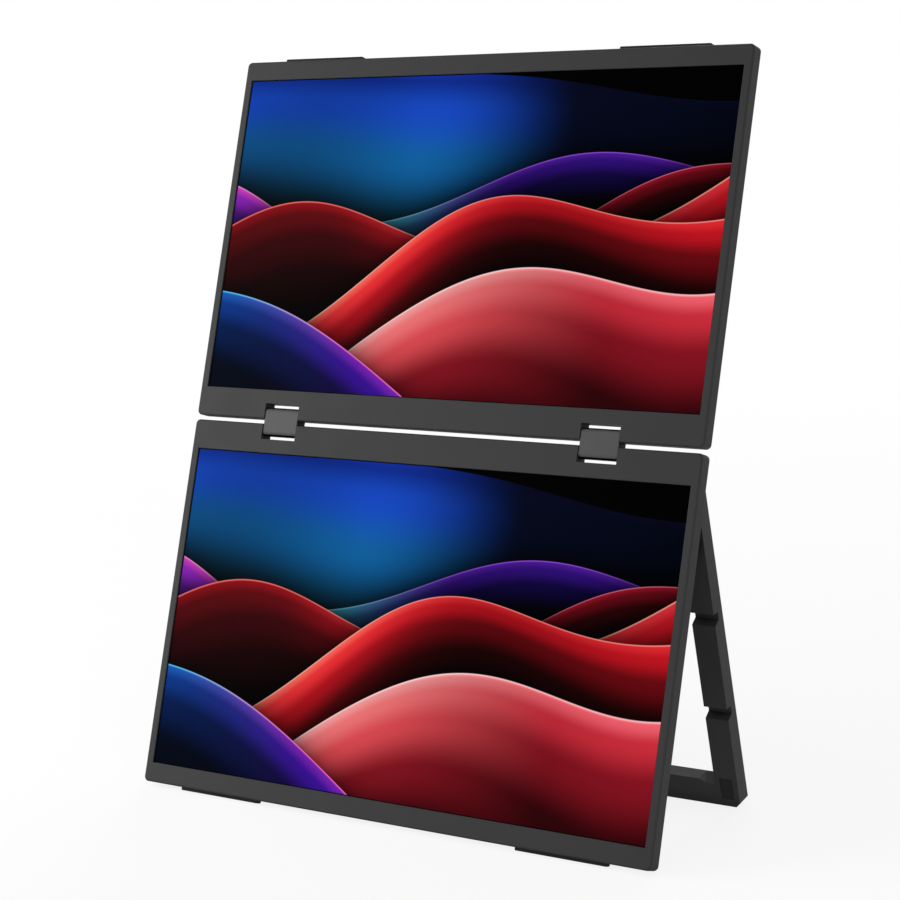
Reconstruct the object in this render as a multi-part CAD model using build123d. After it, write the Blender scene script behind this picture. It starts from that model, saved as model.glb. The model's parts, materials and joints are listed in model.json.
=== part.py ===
from build123d import *
import os
from math import atan2, cos, degrees, radians, sin, tan

# Two alike screens, one above the other, joined by two double-axis hinge blocks.
# A U-shaped stand folds out of the back of the lower screen.
# Everything is drawn in the axes of the lower screen: X to the right, Y from the front
# bezel to the back, Z up, with Z = 0 half way between the two screens.
# At the end the whole object is leaned back onto its pads and its stand.
# Sizes are in millimetres, angles in degrees.

# Picture area and bezel
PICTURE_W = 344.16
PICTURE_H = 193.59
MASK_SIDE = 0.52
MASK_END = 0.5
SIDE_BEZEL = 5.15
HINGE_BEZEL = 17.95
OUTER_BEZEL = 11.9

# Screen bodies
BODY_T = 9.0
SCREEN_GAP = 2.9
CORNER_R = 3.0
EDGE_R = 1.2
WALL = 1.4
SEAM_Y = 1.8
LIP_T = 1.0
LIP_CHAMFER = 0.3
CELL_SIDE = 2.7
CELL_HINGE_END = 2.0
CELL_OUTER_END = 9.3
CELL_FIT = 0.2
CELL_T = 1.0
BACKLIGHT_T = 1.6
TRAY_T = 0.6
TRAY_INSET = 0.6
CLIP_W = 10.0
CLIP_T = 0.8
CLIP_REACH = 2.8
CLIP_FIT = 0.15
CLIP_COUNT = 5
CLIP_END_INSET = 37.75

# Hinge blocks, and the notches that they turn in
HINGE_INSET = 65.75
AXIS_Z = 5.85
NOTCH_W = 25.6
NOTCH_DEPTH = 9.55
BLOCK_W = 24.9
BLOCK_H = 17.6
BLOCK_SET_BACK = 0.5
BLOCK_R = 3.0
CAP_T = 0.8
CAP_PEG_R = 1.2
CAP_PEG_X = 7.0
CAP_PEG_LENGTH = 3.0
SHAFT_R = 1.5
SHAFT_HEAD_R = 2.2
SHAFT_HEAD_T = 1.2
SLEEVE_T = 0.6
RUNNING_FIT = 0.04
SLOT_FIT = 0.2

# Steel brackets that hold the hinge shafts
EAR_T = 2.0
EAR_R = 2.25
EAR_FIT = 0.3
BRACKET_T = 1.2
BRACKET_FRONT_Y = 5.0
FLANGE_W = 8.0
BRACKET_FIT = 0.3
NUT_FLATS = 4.2
NUT_T = 1.4

# Screws
SCREW_R = 0.9
SCREW_HOLE_FIT = 0.1
SCREW_HEAD_R = 1.8
SCREW_HEAD_T = 0.8
SCREW_TIP_LAND = 0.8
POST_R = 2.4
COVER_SCREW_INSET = 12.75
COVER_SCREW_INBOARD = 52.0
COVER_SCREW_DROP = 8.55

# Electronics behind the picture
PORT_Y = 5.9
BOARD_T = 0.8
BOARD_W = 72.0
BOARD_H = 76.0
BOARD_SIDE_GAP = 3.1
BOARD_TOP_Z = -76.0
BOARD_SCREW_INSET = 5.0
STANDOFF_R = 2.0
CHIP_T = 0.9
CHIPS = ((30.0, 22.0, 14.0), (52.0, 50.0, 9.0), (30.0, 56.0, 7.0))
SOCKET_FIT = 0.2
SOCKET_SET_BACK = 0.6
SOCKET_WALL = 0.3
SOCKET_H = 3.2
SOCKET_CORNER = 0.9
SOCKET_MOUTH = 1.0
SOCKET_END_T = 1.0
USB_W = 8.9
USB_DEPTH = 7.2
USB_TONGUE = 6.6
USB_Z = (-92.0, -108.0)
HDMI_W = 11.2
HDMI_DEPTH = 7.6
HDMI_TONGUE = 8.2
HDMI_Z = -126.0
TONGUE_T = 0.7
RIBBON_W = 30.0
RIBBON_T = 0.25
RIBBON_INSET = 16.0

# Push buttons on the left edge
BUTTON_Z = (-172.0, -190.0)
BUTTON_L = 9.0
BUTTON_H = 2.0
BUTTON_SET_BACK = 0.1
BUTTON_FIT = 0.15
BUTTON_FLANGE = 0.6
BUTTON_FLANGE_T = 0.8
BUTTON_PLAY = 0.1
BUTTON_TRAVEL = 0.4
DISH_DEPTH = 0.5
DISH_MARGIN = 1.6
SWITCH_L = 4.0
SWITCH_H = 2.4
SWITCH_T = 1.0
PLUNGER_R = 0.6
PLUNGER_L = 0.35
SWITCH_SPARE = 0.05
SWITCH_BOARD_MARGIN = 6.0

# Rubber pads on the outer edge of each screen
PAD_INSET = 28.45
PAD_L = 58.6
PAD_Y = (2.7, 6.3)
PAD_PROUD = 1.8
PAD_CHAMFER = 0.4

# Stand
STAND_T = 10.4
STAND_SIDE_GAP = 0.8
LEG_W = 14.5
STAND_REST_GAP = 0.3
OPEN_ANGLE = 30.6
KNUCKLE_R = 3.5
PIVOT_DROP = 38.6
STAND_LENGTH = 173.4
BAR_H = 15.6
TIP_T = 0.7
STAND_CHAMFER = 3.0
STAND_EDGE = 0.6
LEG_NOTCH_TOP = (52.6, 110.6)
LEG_NOTCH_H = 7.3
LEG_NOTCH_RAMP = 2.5
LEG_NOTCH_DEPTH = 4.8
SCOOP_W = 10.0
SCOOP_DROP = 2.0
SCOOP_DEPTH = 9.4
SCOOP_RAMP = 4.0
CORNER_PAD_W = 8.2
CORNER_PAD_H = 13.2
CORNER_PAD_SIDE = 3.1
CORNER_PAD_RISE = 4.9
CORNER_PAD_T = 1.0
CORNER_PAD_SET_BACK = 0.15
PIN_R = 1.75
PIN_HEAD_R = 3.0
PIN_HEAD_T = 1.2
PIN_IN_LEG = 9.0
BUSH_T = 0.55
BUSH_END_GAP = 0.5

# Raised housing on the back of the lower screen, inside the folded stand
HOUSING_SET_BACK = 0.5
HOUSING_SIDE_GAP = 0.7
HOUSING_END_GAP = 1.0
HOUSING_CORNER_R = 4.0
HOUSING_EDGE_R = 1.5
HOUSING_WALL = 1.5
PIN_BOSS_R = 4.0
PIN_BOSS_L = 8.0
VENT_COUNT = 24
VENT_PITCH = 6.0
VENT_W = 2.0
VENT_H = 12.0
VENT_DROP = 16.0
GRILLE_COUNT = 11
GRILLE_PITCH = 3.2
GRILLE_W = 1.4
GRILLE_H = 9.0
SPEAKER_W = 46.0
SPEAKER_H = 16.0
SPEAKER_T = 5.6
SPEAKER_SIDE_GAP = 20.6
SPEAKER_RISE = 12.0
CONE_R = 6.5
CONE_DEPTH = 1.2

# Where the leaned object meets the floor, its edges are worn flat by this much
FLOOR_FLAT = 0.35

# Sizes that follow from the ones above
OPENING_W = PICTURE_W + 2 * MASK_SIDE
OPENING_H = PICTURE_H + 2 * MASK_END
HALF_W = OPENING_W / 2 + SIDE_BEZEL
HINGE_X = HALF_W - HINGE_INSET
CLIP_END_X = HALF_W - CLIP_END_INSET
CLIP_X = [CLIP_END_X * (2 * index / (CLIP_COUNT - 1) - 1) for index in range(CLIP_COUNT)]
COVER_SCREW_OUT_X = HALF_W - COVER_SCREW_INSET
COVER_SCREW_IN_X = HINGE_X - COVER_SCREW_INBOARD
COVER_SCREW_X = (-COVER_SCREW_OUT_X, -COVER_SCREW_IN_X, 0, COVER_SCREW_IN_X, COVER_SCREW_OUT_X)
PAD_X = (HALF_W - PAD_INSET - PAD_L, HALF_W - PAD_INSET)
STAND_OUT_X = HALF_W - STAND_SIDE_GAP
BODY_H = OPENING_H + HINGE_BEZEL + OUTER_BEZEL
NEAR_Z = -SCREEN_GAP / 2
FAR_Z = NEAR_Z - BODY_H
OPENING_TOP = NEAR_Z - HINGE_BEZEL
OPENING_BOTTOM = OPENING_TOP - OPENING_H
AXIS_Y = BODY_T / 2
COVER_INNER_Y = BODY_T - WALL
CELL_HALF_W = OPENING_W / 2 + CELL_SIDE
CELL_TOP = OPENING_TOP + CELL_HINGE_END
CELL_BOTTOM = OPENING_BOTTOM - CELL_OUTER_END
CELL_BACK = LIP_T + CELL_T
BACKLIGHT_BACK = CELL_BACK + BACKLIGHT_T
TRAY_BACK = BACKLIGHT_BACK + TRAY_T
EAR_X = NOTCH_W / 2 + WALL + EAR_FIT
SCREW_LINE_Z = NEAR_Z - COVER_SCREW_DROP
BOARD_LEFT = -HALF_W + WALL + BOARD_SIDE_GAP
BOARD_BACK = PORT_Y + BOARD_T / 2
PIVOT_Y = BODY_T + STAND_REST_GAP + KNUCKLE_R
PIVOT_Z = -PIVOT_DROP
STAND_FRONT_Y = PIVOT_Y - KNUCKLE_R
STAND_BACK_Y = STAND_FRONT_Y + STAND_T
STAND_BOTTOM = PIVOT_Z - STAND_LENGTH
BAR_TOP = STAND_BOTTOM + BAR_H
LEG_IN_X = STAND_OUT_X - LEG_W
OPEN_COS = cos(radians(OPEN_ANGLE))
OPEN_SIN = sin(radians(OPEN_ANGLE))
WEDGE_TOP = PIVOT_Z + (KNUCKLE_R + (STAND_T - KNUCKLE_R) * OPEN_COS) / OPEN_SIN
HOUSING_HALF_W = LEG_IN_X - HOUSING_SIDE_GAP
SPEAKER_X = HOUSING_HALF_W - SPEAKER_SIDE_GAP - SPEAKER_W / 2
HOUSING_BACK_Y = STAND_BACK_Y - HOUSING_SET_BACK
HOUSING_TOP = WEDGE_TOP
HOUSING_BOTTOM = BAR_TOP + HOUSING_END_GAP


def block(x, y, z):
    """Return a box between a low and a high limit on each axis."""
    size = (x[1] - x[0], y[1] - y[0], z[1] - z[0])
    middle = (sum(x) / 2, sum(y) / 2, sum(z) / 2)
    return Pos(*middle) * Box(*size)


def rod_x(radius, x, y, z):
    """Return a round rod along X between two X limits."""
    return Pos(sum(x) / 2, y, z) * Rot(Y=90) * Cylinder(radius, x[1] - x[0])


def rod_y(radius, x, y, z):
    """Return a round rod along Y between two Y limits."""
    return Pos(x, sum(y) / 2, z) * Rot(X=90) * Cylinder(radius, y[1] - y[0])


def rounded_block(x, y, z, corner):
    """Return a box whose edges along Y are rounded."""
    solid = block(x, y, z)
    return fillet(solid.edges().filter_by(Axis.Y), corner)


def flip_x(shape):
    """Return the mirror image on the other side of the middle plane."""
    return mirror(shape, about=Plane.YZ)


def flip_z(shape):
    """Return the mirror image on the other side of the hinge line."""
    return mirror(shape, about=Plane.XY)


def group(shapes):
    """Return separate solids as one node."""
    return Compound([solid for shape in shapes for solid in shape.solids()])


def screw_y(x, z, head_y, tip_y):
    """Return a screw along Y, with its head at the back and its tip in front."""
    head = rod_y(SCREW_HEAD_R, x, (head_y, head_y + SCREW_HEAD_T), z)
    socket = rod_y(SCREW_R * 0.8, x, (head_y + SCREW_HEAD_T / 2, head_y + SCREW_HEAD_T), z)
    return head + rod_y(SCREW_R, x, (tip_y, head_y), z) - socket


# Screen parts, drawn for the lower screen
def notch(centre_x, wall):
    """Return the space of one hinge notch, grown by a wall."""
    half = NOTCH_W / 2 + wall
    low = NEAR_Z - NOTCH_DEPTH - wall
    return block((centre_x - half, centre_x + half), (-1, BODY_T + 1), (low, NEAR_Z + 1))


def cover_screw_head_y():
    """Return the Y of the seat under a cover screw's head."""
    return BODY_T - SCREW_HEAD_T


def bracket_screw_places():
    """Return the X and Z of the bracket screws of both hinges."""
    reach = EAR_X + EAR_T + FLANGE_W / 2
    return [(side * HINGE_X + end * reach, SCREW_LINE_Z) for side in (-1, 1) for end in (-1, 1)]


def front_bezel():
    """Return the front frame with its posts and clips."""
    frame = rounded_block((-HALF_W, HALF_W), (0, SEAM_Y), (FAR_Z, NEAR_Z), CORNER_R)
    frame = fillet(frame.faces().sort_by(Axis.Y)[0].edges(), EDGE_R)
    window = block((-OPENING_W / 2, OPENING_W / 2), (-1, SEAM_Y + 1), (OPENING_BOTTOM, OPENING_TOP))
    frame -= window
    rim = frame.faces().sort_by(Axis.Y)[0].inner_wires()[0].edges()
    frame = chamfer(rim, LIP_CHAMFER)
    pocket_half = CELL_HALF_W + CELL_FIT
    pocket_z = (CELL_BOTTOM - CELL_FIT - RIBBON_T, CELL_TOP + CELL_FIT)
    frame -= block((-pocket_half, pocket_half), (LIP_T, SEAM_Y + 1), pocket_z)
    for side in (-1, 1):
        frame -= notch(side * HINGE_X, 0)
    for x in COVER_SCREW_X:
        frame += rod_y(POST_R, x, (SEAM_Y, COVER_INNER_Y), SCREW_LINE_Z)
        frame -= rod_y(SCREW_R, x, (SEAM_Y + SCREW_TIP_LAND, BODY_T), SCREW_LINE_Z)
    for x, z in bracket_screw_places():
        frame += rod_y(POST_R, x, (SEAM_Y, BRACKET_FRONT_Y), z)
        frame -= rod_y(SCREW_R, x, (SEAM_Y + SCREW_TIP_LAND, BODY_T), z)
    clip_low = FAR_Z + WALL + CLIP_FIT
    clip_z = (clip_low, clip_low + CLIP_T)
    for x in CLIP_X:
        frame += block((x - CLIP_W / 2, x + CLIP_W / 2), (LIP_T, SEAM_Y + CLIP_REACH), clip_z)
    return frame


def shaft_slots(side):
    """Return the slots that let a hinge shaft into the walls of a notch from the front."""
    half = EAR_X + SLOT_FIT
    x = (side * HINGE_X - half, side * HINGE_X + half)
    radius = SHAFT_R + SLOT_FIT
    z = (-AXIS_Z - radius, -AXIS_Z + radius)
    return rod_x(radius, x, AXIS_Y, -AXIS_Z) + block(x, (SEAM_Y, AXIS_Y), z)


def port_holes():
    """Return the holes in the left wall for the sockets and the buttons."""
    wall_x = (-HALF_W - 1, -HALF_W + WALL + 1)
    high = SOCKET_H / 2 + SOCKET_FIT
    holes = []
    for z, width in [(z, USB_W) for z in USB_Z] + [(HDMI_Z, HDMI_W)]:
        wide = width / 2 + SOCKET_FIT
        hole = block(wall_x, (PORT_Y - high, PORT_Y + high), (z - wide, z + wide))
        holes.append(fillet(hole.edges().filter_by(Axis.X), high * 0.7))
    for z in BUTTON_Z:
        long = BUTTON_L / 2 + BUTTON_FIT
        tall = BUTTON_H / 2 + BUTTON_FIT
        hole = block(wall_x, (PORT_Y - tall, PORT_Y + tall), (z - long, z + long))
        holes.append(fillet(hole.edges().filter_by(Axis.X), tall * 0.8))
    dish_y = BUTTON_H / 2 + DISH_MARGIN
    dish_z = BUTTON_L / 2 + DISH_MARGIN
    low, high_z = min(BUTTON_Z) - dish_z, max(BUTTON_Z) + dish_z
    dish = block((-HALF_W - 1, -HALF_W + DISH_DEPTH), (PORT_Y - dish_y, PORT_Y + dish_y), (low, high_z))
    holes.append(fillet(dish.edges().filter_by(Axis.X), dish_y * 0.9))
    return holes


def plain_rear_cover():
    """Return the tray-shaped rear cover that both screens have."""
    shell = rounded_block((-HALF_W, HALF_W), (SEAM_Y, BODY_T), (FAR_Z, NEAR_Z), CORNER_R)
    shell = fillet(shell.faces().sort_by(Axis.Y)[-1].edges(), EDGE_R)
    inside_x = (-HALF_W + WALL, HALF_W - WALL)
    inside_z = (FAR_Z + WALL, NEAR_Z - WALL)
    shell -= rounded_block(inside_x, (SEAM_Y - 1, COVER_INNER_Y), inside_z, CORNER_R - WALL)
    boxed = block((-HALF_W, HALF_W), (SEAM_Y, COVER_INNER_Y), (FAR_Z, NEAR_Z))
    for side in (-1, 1):
        shell += notch(side * HINGE_X, WALL) & boxed
        shell -= notch(side * HINGE_X, 0)
        shell -= shaft_slots(side)
    for x in COVER_SCREW_X:
        shell -= rod_y(SCREW_HEAD_R + SCREW_HOLE_FIT, x, (cover_screw_head_y(), BODY_T + 1), SCREW_LINE_Z)
        shell -= rod_y(SCREW_R + SCREW_HOLE_FIT, x, (COVER_INNER_Y - 1, BODY_T), SCREW_LINE_Z)
    for hole in port_holes():
        shell -= hole
    return shell


def housing_block(inset, y, edge=0.0):
    """Return the raised housing, shrunk by an inset, between two Y limits."""
    half = HOUSING_HALF_W - inset
    z = (HOUSING_BOTTOM + inset, HOUSING_TOP - inset)
    solid = rounded_block((-half, half), y, z, HOUSING_CORNER_R - inset)
    if edge:
        solid = fillet(solid.faces().sort_by(Axis.Y)[-1].edges(), edge)
    return solid


def slots_across(count, pitch, width, z, y, centre_x=0.0):
    """Return a row of upright slots through the back of the housing."""
    slots = []
    for index in range(count):
        x = centre_x + (index - (count - 1) / 2) * pitch
        slots.append(rounded_block((x - width / 2, x + width / 2), y, z, width * 0.49))
    return slots


def speaker_z():
    """Return the low and high Z of the speakers."""
    low = HOUSING_BOTTOM + SPEAKER_RISE
    return low, low + SPEAKER_H


def lower_rear_cover():
    """Return the lower cover, with the raised housing that carries the stand's pins."""
    cover = plain_rear_cover()
    cover += housing_block(0, (COVER_INNER_Y, HOUSING_BACK_Y), HOUSING_EDGE_R)
    cover -= housing_block(HOUSING_WALL, (COVER_INNER_Y - 1, HOUSING_BACK_Y - HOUSING_WALL))
    boss_y = (COVER_INNER_Y, HOUSING_BACK_Y - HOUSING_WALL / 2)
    for side in (-1, 1):
        wall_x = side * HOUSING_HALF_W
        boss_end = wall_x - side * (HOUSING_WALL + PIN_BOSS_L)
        inner_x = wall_x - side * HOUSING_WALL / 2
        boss = rod_x(PIN_BOSS_R, sorted((boss_end, inner_x)), PIVOT_Y, PIVOT_Z)
        cover += boss & block((-HALF_W, HALF_W), boss_y, (FAR_Z, NEAR_Z))
        cover -= rod_x(PIN_R, sorted((boss_end - side, wall_x + side)), PIVOT_Y, PIVOT_Z)
    back = (HOUSING_BACK_Y - HOUSING_WALL - 1, HOUSING_BACK_Y + 1)
    vent_top = HOUSING_TOP - VENT_DROP
    cuts = slots_across(VENT_COUNT, VENT_PITCH, VENT_W, (vent_top - VENT_H, vent_top), back)
    grille_middle = sum(speaker_z()) / 2
    grille_z = (grille_middle - GRILLE_H / 2, grille_middle + GRILLE_H / 2)
    for side in (-1, 1):
        cuts += slots_across(GRILLE_COUNT, GRILLE_PITCH, GRILLE_W, grille_z, back, side * SPEAKER_X)
    for cut in cuts:
        cover -= cut
    return cover


def lcd_cell():
    """Return the glass sandwich that shows the picture."""
    return block((-CELL_HALF_W, CELL_HALF_W), (LIP_T, CELL_BACK), (CELL_BOTTOM, CELL_TOP))


def backlight():
    """Return the light guide and diffusers behind the glass."""
    return block((-CELL_HALF_W, CELL_HALF_W), (CELL_BACK, BACKLIGHT_BACK), (CELL_BOTTOM, CELL_TOP))


def board_screw_places():
    """Return the X and Z of the four screws of the main board."""
    right = BOARD_LEFT + BOARD_W - BOARD_SCREW_INSET
    left = BOARD_LEFT + USB_DEPTH + BOARD_SCREW_INSET
    low = BOARD_TOP_Z - BOARD_H + BOARD_SCREW_INSET
    return [(x, z) for x in (left, right) for z in (low, BOARD_TOP_Z - BOARD_SCREW_INSET)]


def panel_tray():
    """Return the sheet metal tray with the standoffs of the main board."""
    half = CELL_HALF_W - TRAY_INSET
    tray_z = (CELL_BOTTOM + TRAY_INSET, CELL_TOP - TRAY_INSET)
    tray = block((-half, half), (BACKLIGHT_BACK, TRAY_BACK), tray_z)
    for x, z in board_screw_places():
        tray += rod_y(STANDOFF_R, x, (TRAY_BACK, BOARD_BACK - BOARD_T), z)
        tray -= rod_y(SCREW_R, x, (TRAY_BACK, BOARD_BACK), z)
    return tray


def socket(z, width, depth, tongue):
    """Return one socket: a metal shell with cut corners, and the flat tongue inside it."""
    front = -HALF_W + SOCKET_SET_BACK
    back = front + depth
    high = SOCKET_H / 2
    wide = width / 2
    shell = block((front, back), (PORT_Y - high, PORT_Y + high), (z - wide, z + wide))
    shell = chamfer(shell.edges().filter_by(Axis.X), SOCKET_CORNER)
    high -= SOCKET_WALL
    wide -= SOCKET_WALL
    inside = back - SOCKET_END_T
    hollow = block((front - 1, inside), (PORT_Y - high, PORT_Y + high), (z - wide, z + wide))
    shell -= chamfer(hollow.edges().filter_by(Axis.X), SOCKET_CORNER - SOCKET_WALL / 2)
    flat = (PORT_Y - TONGUE_T / 2, PORT_Y + TONGUE_T / 2)
    return [shell, block((front + SOCKET_MOUTH, inside), flat, (z - tongue / 2, z + tongue / 2))]


def usb_c_sockets():
    """Return the two reversible data and power sockets."""
    return group([piece for z in USB_Z for piece in socket(z, USB_W, USB_DEPTH, USB_TONGUE)])


def mini_hdmi_socket():
    """Return the video socket."""
    return group(socket(HDMI_Z, HDMI_W, HDMI_DEPTH, HDMI_TONGUE))


def main_board():
    """Return the circuit board with its chips and the ribbon's connector."""
    front = BOARD_BACK - BOARD_T
    low = BOARD_TOP_Z - BOARD_H
    board = block((BOARD_LEFT, BOARD_LEFT + BOARD_W), (front, BOARD_BACK), (low, BOARD_TOP_Z))
    for across, down, side in CHIPS:
        x = BOARD_LEFT + across
        z = BOARD_TOP_Z - down
        chip_x = (x - side / 2, x + side / 2)
        board += block(chip_x, (BOARD_BACK, BOARD_BACK + CHIP_T), (z - side / 2, z + side / 2))
    centre = ribbon_centre_x()
    plug_x = (centre - RIBBON_W / 2, centre + RIBBON_W / 2)
    board += block(plug_x, (TRAY_BACK + RIBBON_T, front), (low + 1, low + 4))
    for x, z in board_screw_places():
        board -= rod_y(SCREW_R + SCREW_HOLE_FIT, x, (front - 1, BOARD_BACK + 1), z)
    for z, width in [(z, USB_W) for z in USB_Z] + [(HDMI_Z, HDMI_W)]:
        depth = HDMI_DEPTH if z == HDMI_Z else USB_DEPTH
        edge = -HALF_W + SOCKET_SET_BACK + depth
        board -= block((-HALF_W, edge), (front - 1, BOARD_BACK + 1), (z - width / 2, z + width / 2))
    return board


def ribbon_centre_x():
    """Return the X of the middle of the display ribbon."""
    return BOARD_LEFT + BOARD_W - RIBBON_INSET - RIBBON_W / 2


def panel_ribbon():
    """Return the flat cable from the main board round the tray to the glass."""
    centre = ribbon_centre_x()
    x = (centre - RIBBON_W / 2, centre + RIBBON_W / 2)
    run = block(x, (TRAY_BACK, TRAY_BACK + RIBBON_T), (CELL_BOTTOM - RIBBON_T, BOARD_TOP_Z - BOARD_H + 4))
    end = block(x, (LIP_T + CELL_T / 2, TRAY_BACK + RIBBON_T), (CELL_BOTTOM - RIBBON_T, CELL_BOTTOM))
    clips = [block((c - CLIP_W, c + CLIP_W), (0, BODY_T), (FAR_Z, CELL_BOTTOM)) for c in CLIP_X]
    ribbon = run + end
    for clip in clips:
        ribbon -= clip
    return ribbon


def board_screws():
    """Return the four screws of the main board."""
    return group([screw_y(x, z, BOARD_BACK, TRAY_BACK) for x, z in board_screw_places()])


def cover_screws():
    """Return the screws that hold the rear cover to the bezel's posts."""
    tip = SEAM_Y + SCREW_TIP_LAND
    return group([screw_y(x, SCREW_LINE_Z, cover_screw_head_y(), tip) for x in COVER_SCREW_X])


def bracket_screws():
    """Return the screws that hold the hinge brackets to the bezel's posts."""
    head = BRACKET_FRONT_Y + BRACKET_T
    tip = SEAM_Y + SCREW_TIP_LAND
    return group([screw_y(x, z, head, tip) for x, z in bracket_screw_places()])


def hinge_bracket(side):
    """Return the steel bracket whose two ears hold one hinge shaft."""
    centre = side * HINGE_X
    y = (BRACKET_FRONT_Y, BRACKET_FRONT_Y + BRACKET_T)
    low = CELL_TOP + BRACKET_FIT
    under = NEAR_Z - NOTCH_DEPTH - WALL - BRACKET_FIT
    top = NEAR_Z - WALL - BRACKET_FIT
    reach = EAR_X + EAR_T + FLANGE_W
    bracket = block((centre - reach, centre + reach), y, (low, under))
    for end in (-1, 1):
        flange = sorted((centre + end * EAR_X, centre + end * reach))
        ear = sorted((centre + end * EAR_X, centre + end * (EAR_X + EAR_T)))
        bracket += block(flange, y, (low, top))
        bracket += rod_x(EAR_R, ear, AXIS_Y, -AXIS_Z)
        bracket += block(ear, (AXIS_Y - EAR_R, AXIS_Y + EAR_R), (low, -AXIS_Z))
        bracket -= rod_x(SHAFT_R, ear, AXIS_Y, -AXIS_Z)
        x = centre + end * (EAR_X + EAR_T + FLANGE_W / 2)
        bracket -= rod_y(SCREW_R + SCREW_HOLE_FIT, x, (0, BODY_T), SCREW_LINE_Z)
        beyond = sorted((centre + end * (EAR_X + EAR_T), centre + end * (EAR_X + EAR_T + NUT_T + EAR_FIT)))
        bracket -= rod_x(NUT_FLATS / 2 + 2 * EAR_FIT, beyond, AXIS_Y, -AXIS_Z)
    return bracket


def hinge_shaft(side):
    """Return one hinge shaft, with its head on the inboard side."""
    centre = side * HINGE_X
    inboard = centre - side * (EAR_X + EAR_T)
    outboard = centre + side * (EAR_X + EAR_T + NUT_T)
    head_x = sorted((inboard, inboard - side * SHAFT_HEAD_T))
    shaft = rod_x(SHAFT_R, sorted((inboard, outboard)), AXIS_Y, -AXIS_Z)
    return shaft + rod_x(SHAFT_HEAD_R, head_x, AXIS_Y, -AXIS_Z)


def hinge_nut(side):
    """Return the hexagon nut on the outboard end of a hinge shaft."""
    start = side * HINGE_X + side * (EAR_X + EAR_T)
    x = sorted((start, start + side * NUT_T))
    hexagon = RegularPolygon(NUT_FLATS / 2, 6, major_radius=False)
    nut = extrude(Plane.YZ.offset(x[0]) * Pos(AXIS_Y, -AXIS_Z) * hexagon, NUT_T)
    return nut - rod_x(SHAFT_R, x, AXIS_Y, -AXIS_Z)


def edge_pads():
    """Return the two rubber pads on the outer edge."""
    pads = []
    for side in (-1, 1):
        x = sorted((side * PAD_X[0], side * PAD_X[1]))
        pad = block(x, PAD_Y, (FAR_Z - PAD_PROUD, FAR_Z))
        ends = pad.faces().sort_by(Axis.Z)[0].edges().filter_by(Axis.Y)
        pads.append(chamfer(ends, PAD_CHAMFER))
    return group(pads)


def push_button(z):
    """Return one push button: a cap in the wall and a flange behind it."""
    front = -HALF_W + BUTTON_SET_BACK
    flange_x = -HALF_W + WALL + BUTTON_PLAY
    tall = BUTTON_H / 2
    long = BUTTON_L / 2
    cap = block((front, flange_x), (PORT_Y - tall, PORT_Y + tall), (z - long, z + long))
    cap = fillet(cap.edges().filter_by(Axis.X), BUTTON_H * 0.4)
    tall += BUTTON_FLANGE
    long += BUTTON_FLANGE
    back = flange_x + BUTTON_FLANGE_T
    return cap + block((flange_x, back), (PORT_Y - tall, PORT_Y + tall), (z - long, z + long))


def button_board():
    """Return the small upright board with a switch behind each button."""
    flange_back = -HALF_W + WALL + BUTTON_PLAY + BUTTON_FLANGE_T
    tip = flange_back + BUTTON_TRAVEL + SWITCH_SPARE
    front = tip + PLUNGER_L
    low, high = min(BUTTON_Z) - SWITCH_BOARD_MARGIN, max(BUTTON_Z) + SWITCH_BOARD_MARGIN
    face = front + SWITCH_T
    board = block((face, face + BOARD_T), (TRAY_BACK, COVER_INNER_Y - SLOT_FIT), (low, high))
    for z in BUTTON_Z:
        y = (PORT_Y - SWITCH_H / 2, PORT_Y + SWITCH_H / 2)
        board += block((front, face), y, (z - SWITCH_L / 2, z + SWITCH_L / 2))
        board += rod_x(PLUNGER_R, (tip, front), PORT_Y, z)
    return board


# Hinge blocks between the screens
def hinge_core(side):
    """Return the outer form of one hinge block, with rounded long edges."""
    centre = side * HINGE_X
    x = (centre - BLOCK_W / 2, centre + BLOCK_W / 2)
    core = block(x, (BLOCK_SET_BACK, BODY_T - BLOCK_SET_BACK), (-BLOCK_H / 2, BLOCK_H / 2))
    return fillet(core.edges().filter_by(Axis.X), BLOCK_R)


def cap_pegs(side):
    """Return the two pegs that hold a hinge cap."""
    seam = BLOCK_SET_BACK + CAP_T
    places = (side * HINGE_X - CAP_PEG_X, side * HINGE_X + CAP_PEG_X)
    return [rod_y(CAP_PEG_R, x, (seam, seam + CAP_PEG_LENGTH), 0) for x in places]


def hinge_cap(side):
    """Return the thin front cap of one hinge block."""
    seam = BLOCK_SET_BACK + CAP_T
    cap = hinge_core(side) & block((-HALF_W, HALF_W), (-BODY_T, seam), (-BLOCK_H, BLOCK_H))
    for peg in cap_pegs(side):
        cap += peg
    return cap


def hinge_block(side):
    """Return one hinge block, bored for the two shafts and their sleeves."""
    seam = BLOCK_SET_BACK + CAP_T
    body = hinge_core(side) & block((-HALF_W, HALF_W), (seam, 2 * BODY_T), (-BLOCK_H, BLOCK_H))
    for z in (-AXIS_Z, AXIS_Z):
        reach = BLOCK_W / 2 + 1
        x = (side * HINGE_X - reach, side * HINGE_X + reach)
        body -= rod_x(SHAFT_R + RUNNING_FIT + SLEEVE_T, x, AXIS_Y, z)
    for peg in cap_pegs(side):
        body -= peg
    return body


def friction_sleeves():
    """Return the four sleeves that grip the hinge shafts."""
    sleeves = []
    for side in (-1, 1):
        x = (side * HINGE_X - BLOCK_W / 2, side * HINGE_X + BLOCK_W / 2)
        for z in (-AXIS_Z, AXIS_Z):
            sleeve = rod_x(SHAFT_R + RUNNING_FIT + SLEEVE_T, x, AXIS_Y, z)
            sleeves.append(sleeve - rod_x(SHAFT_R + RUNNING_FIT, x, AXIS_Y, z))
    return group(sleeves)


# Stand, drawn folded flat and then swung open about its pins
def swing_open(shape):
    """Turn a piece of the folded stand to its open place."""
    return shape.rotate(Axis((0, PIVOT_Y, PIVOT_Z), (1, 0, 0)), OPEN_ANGLE)


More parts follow.
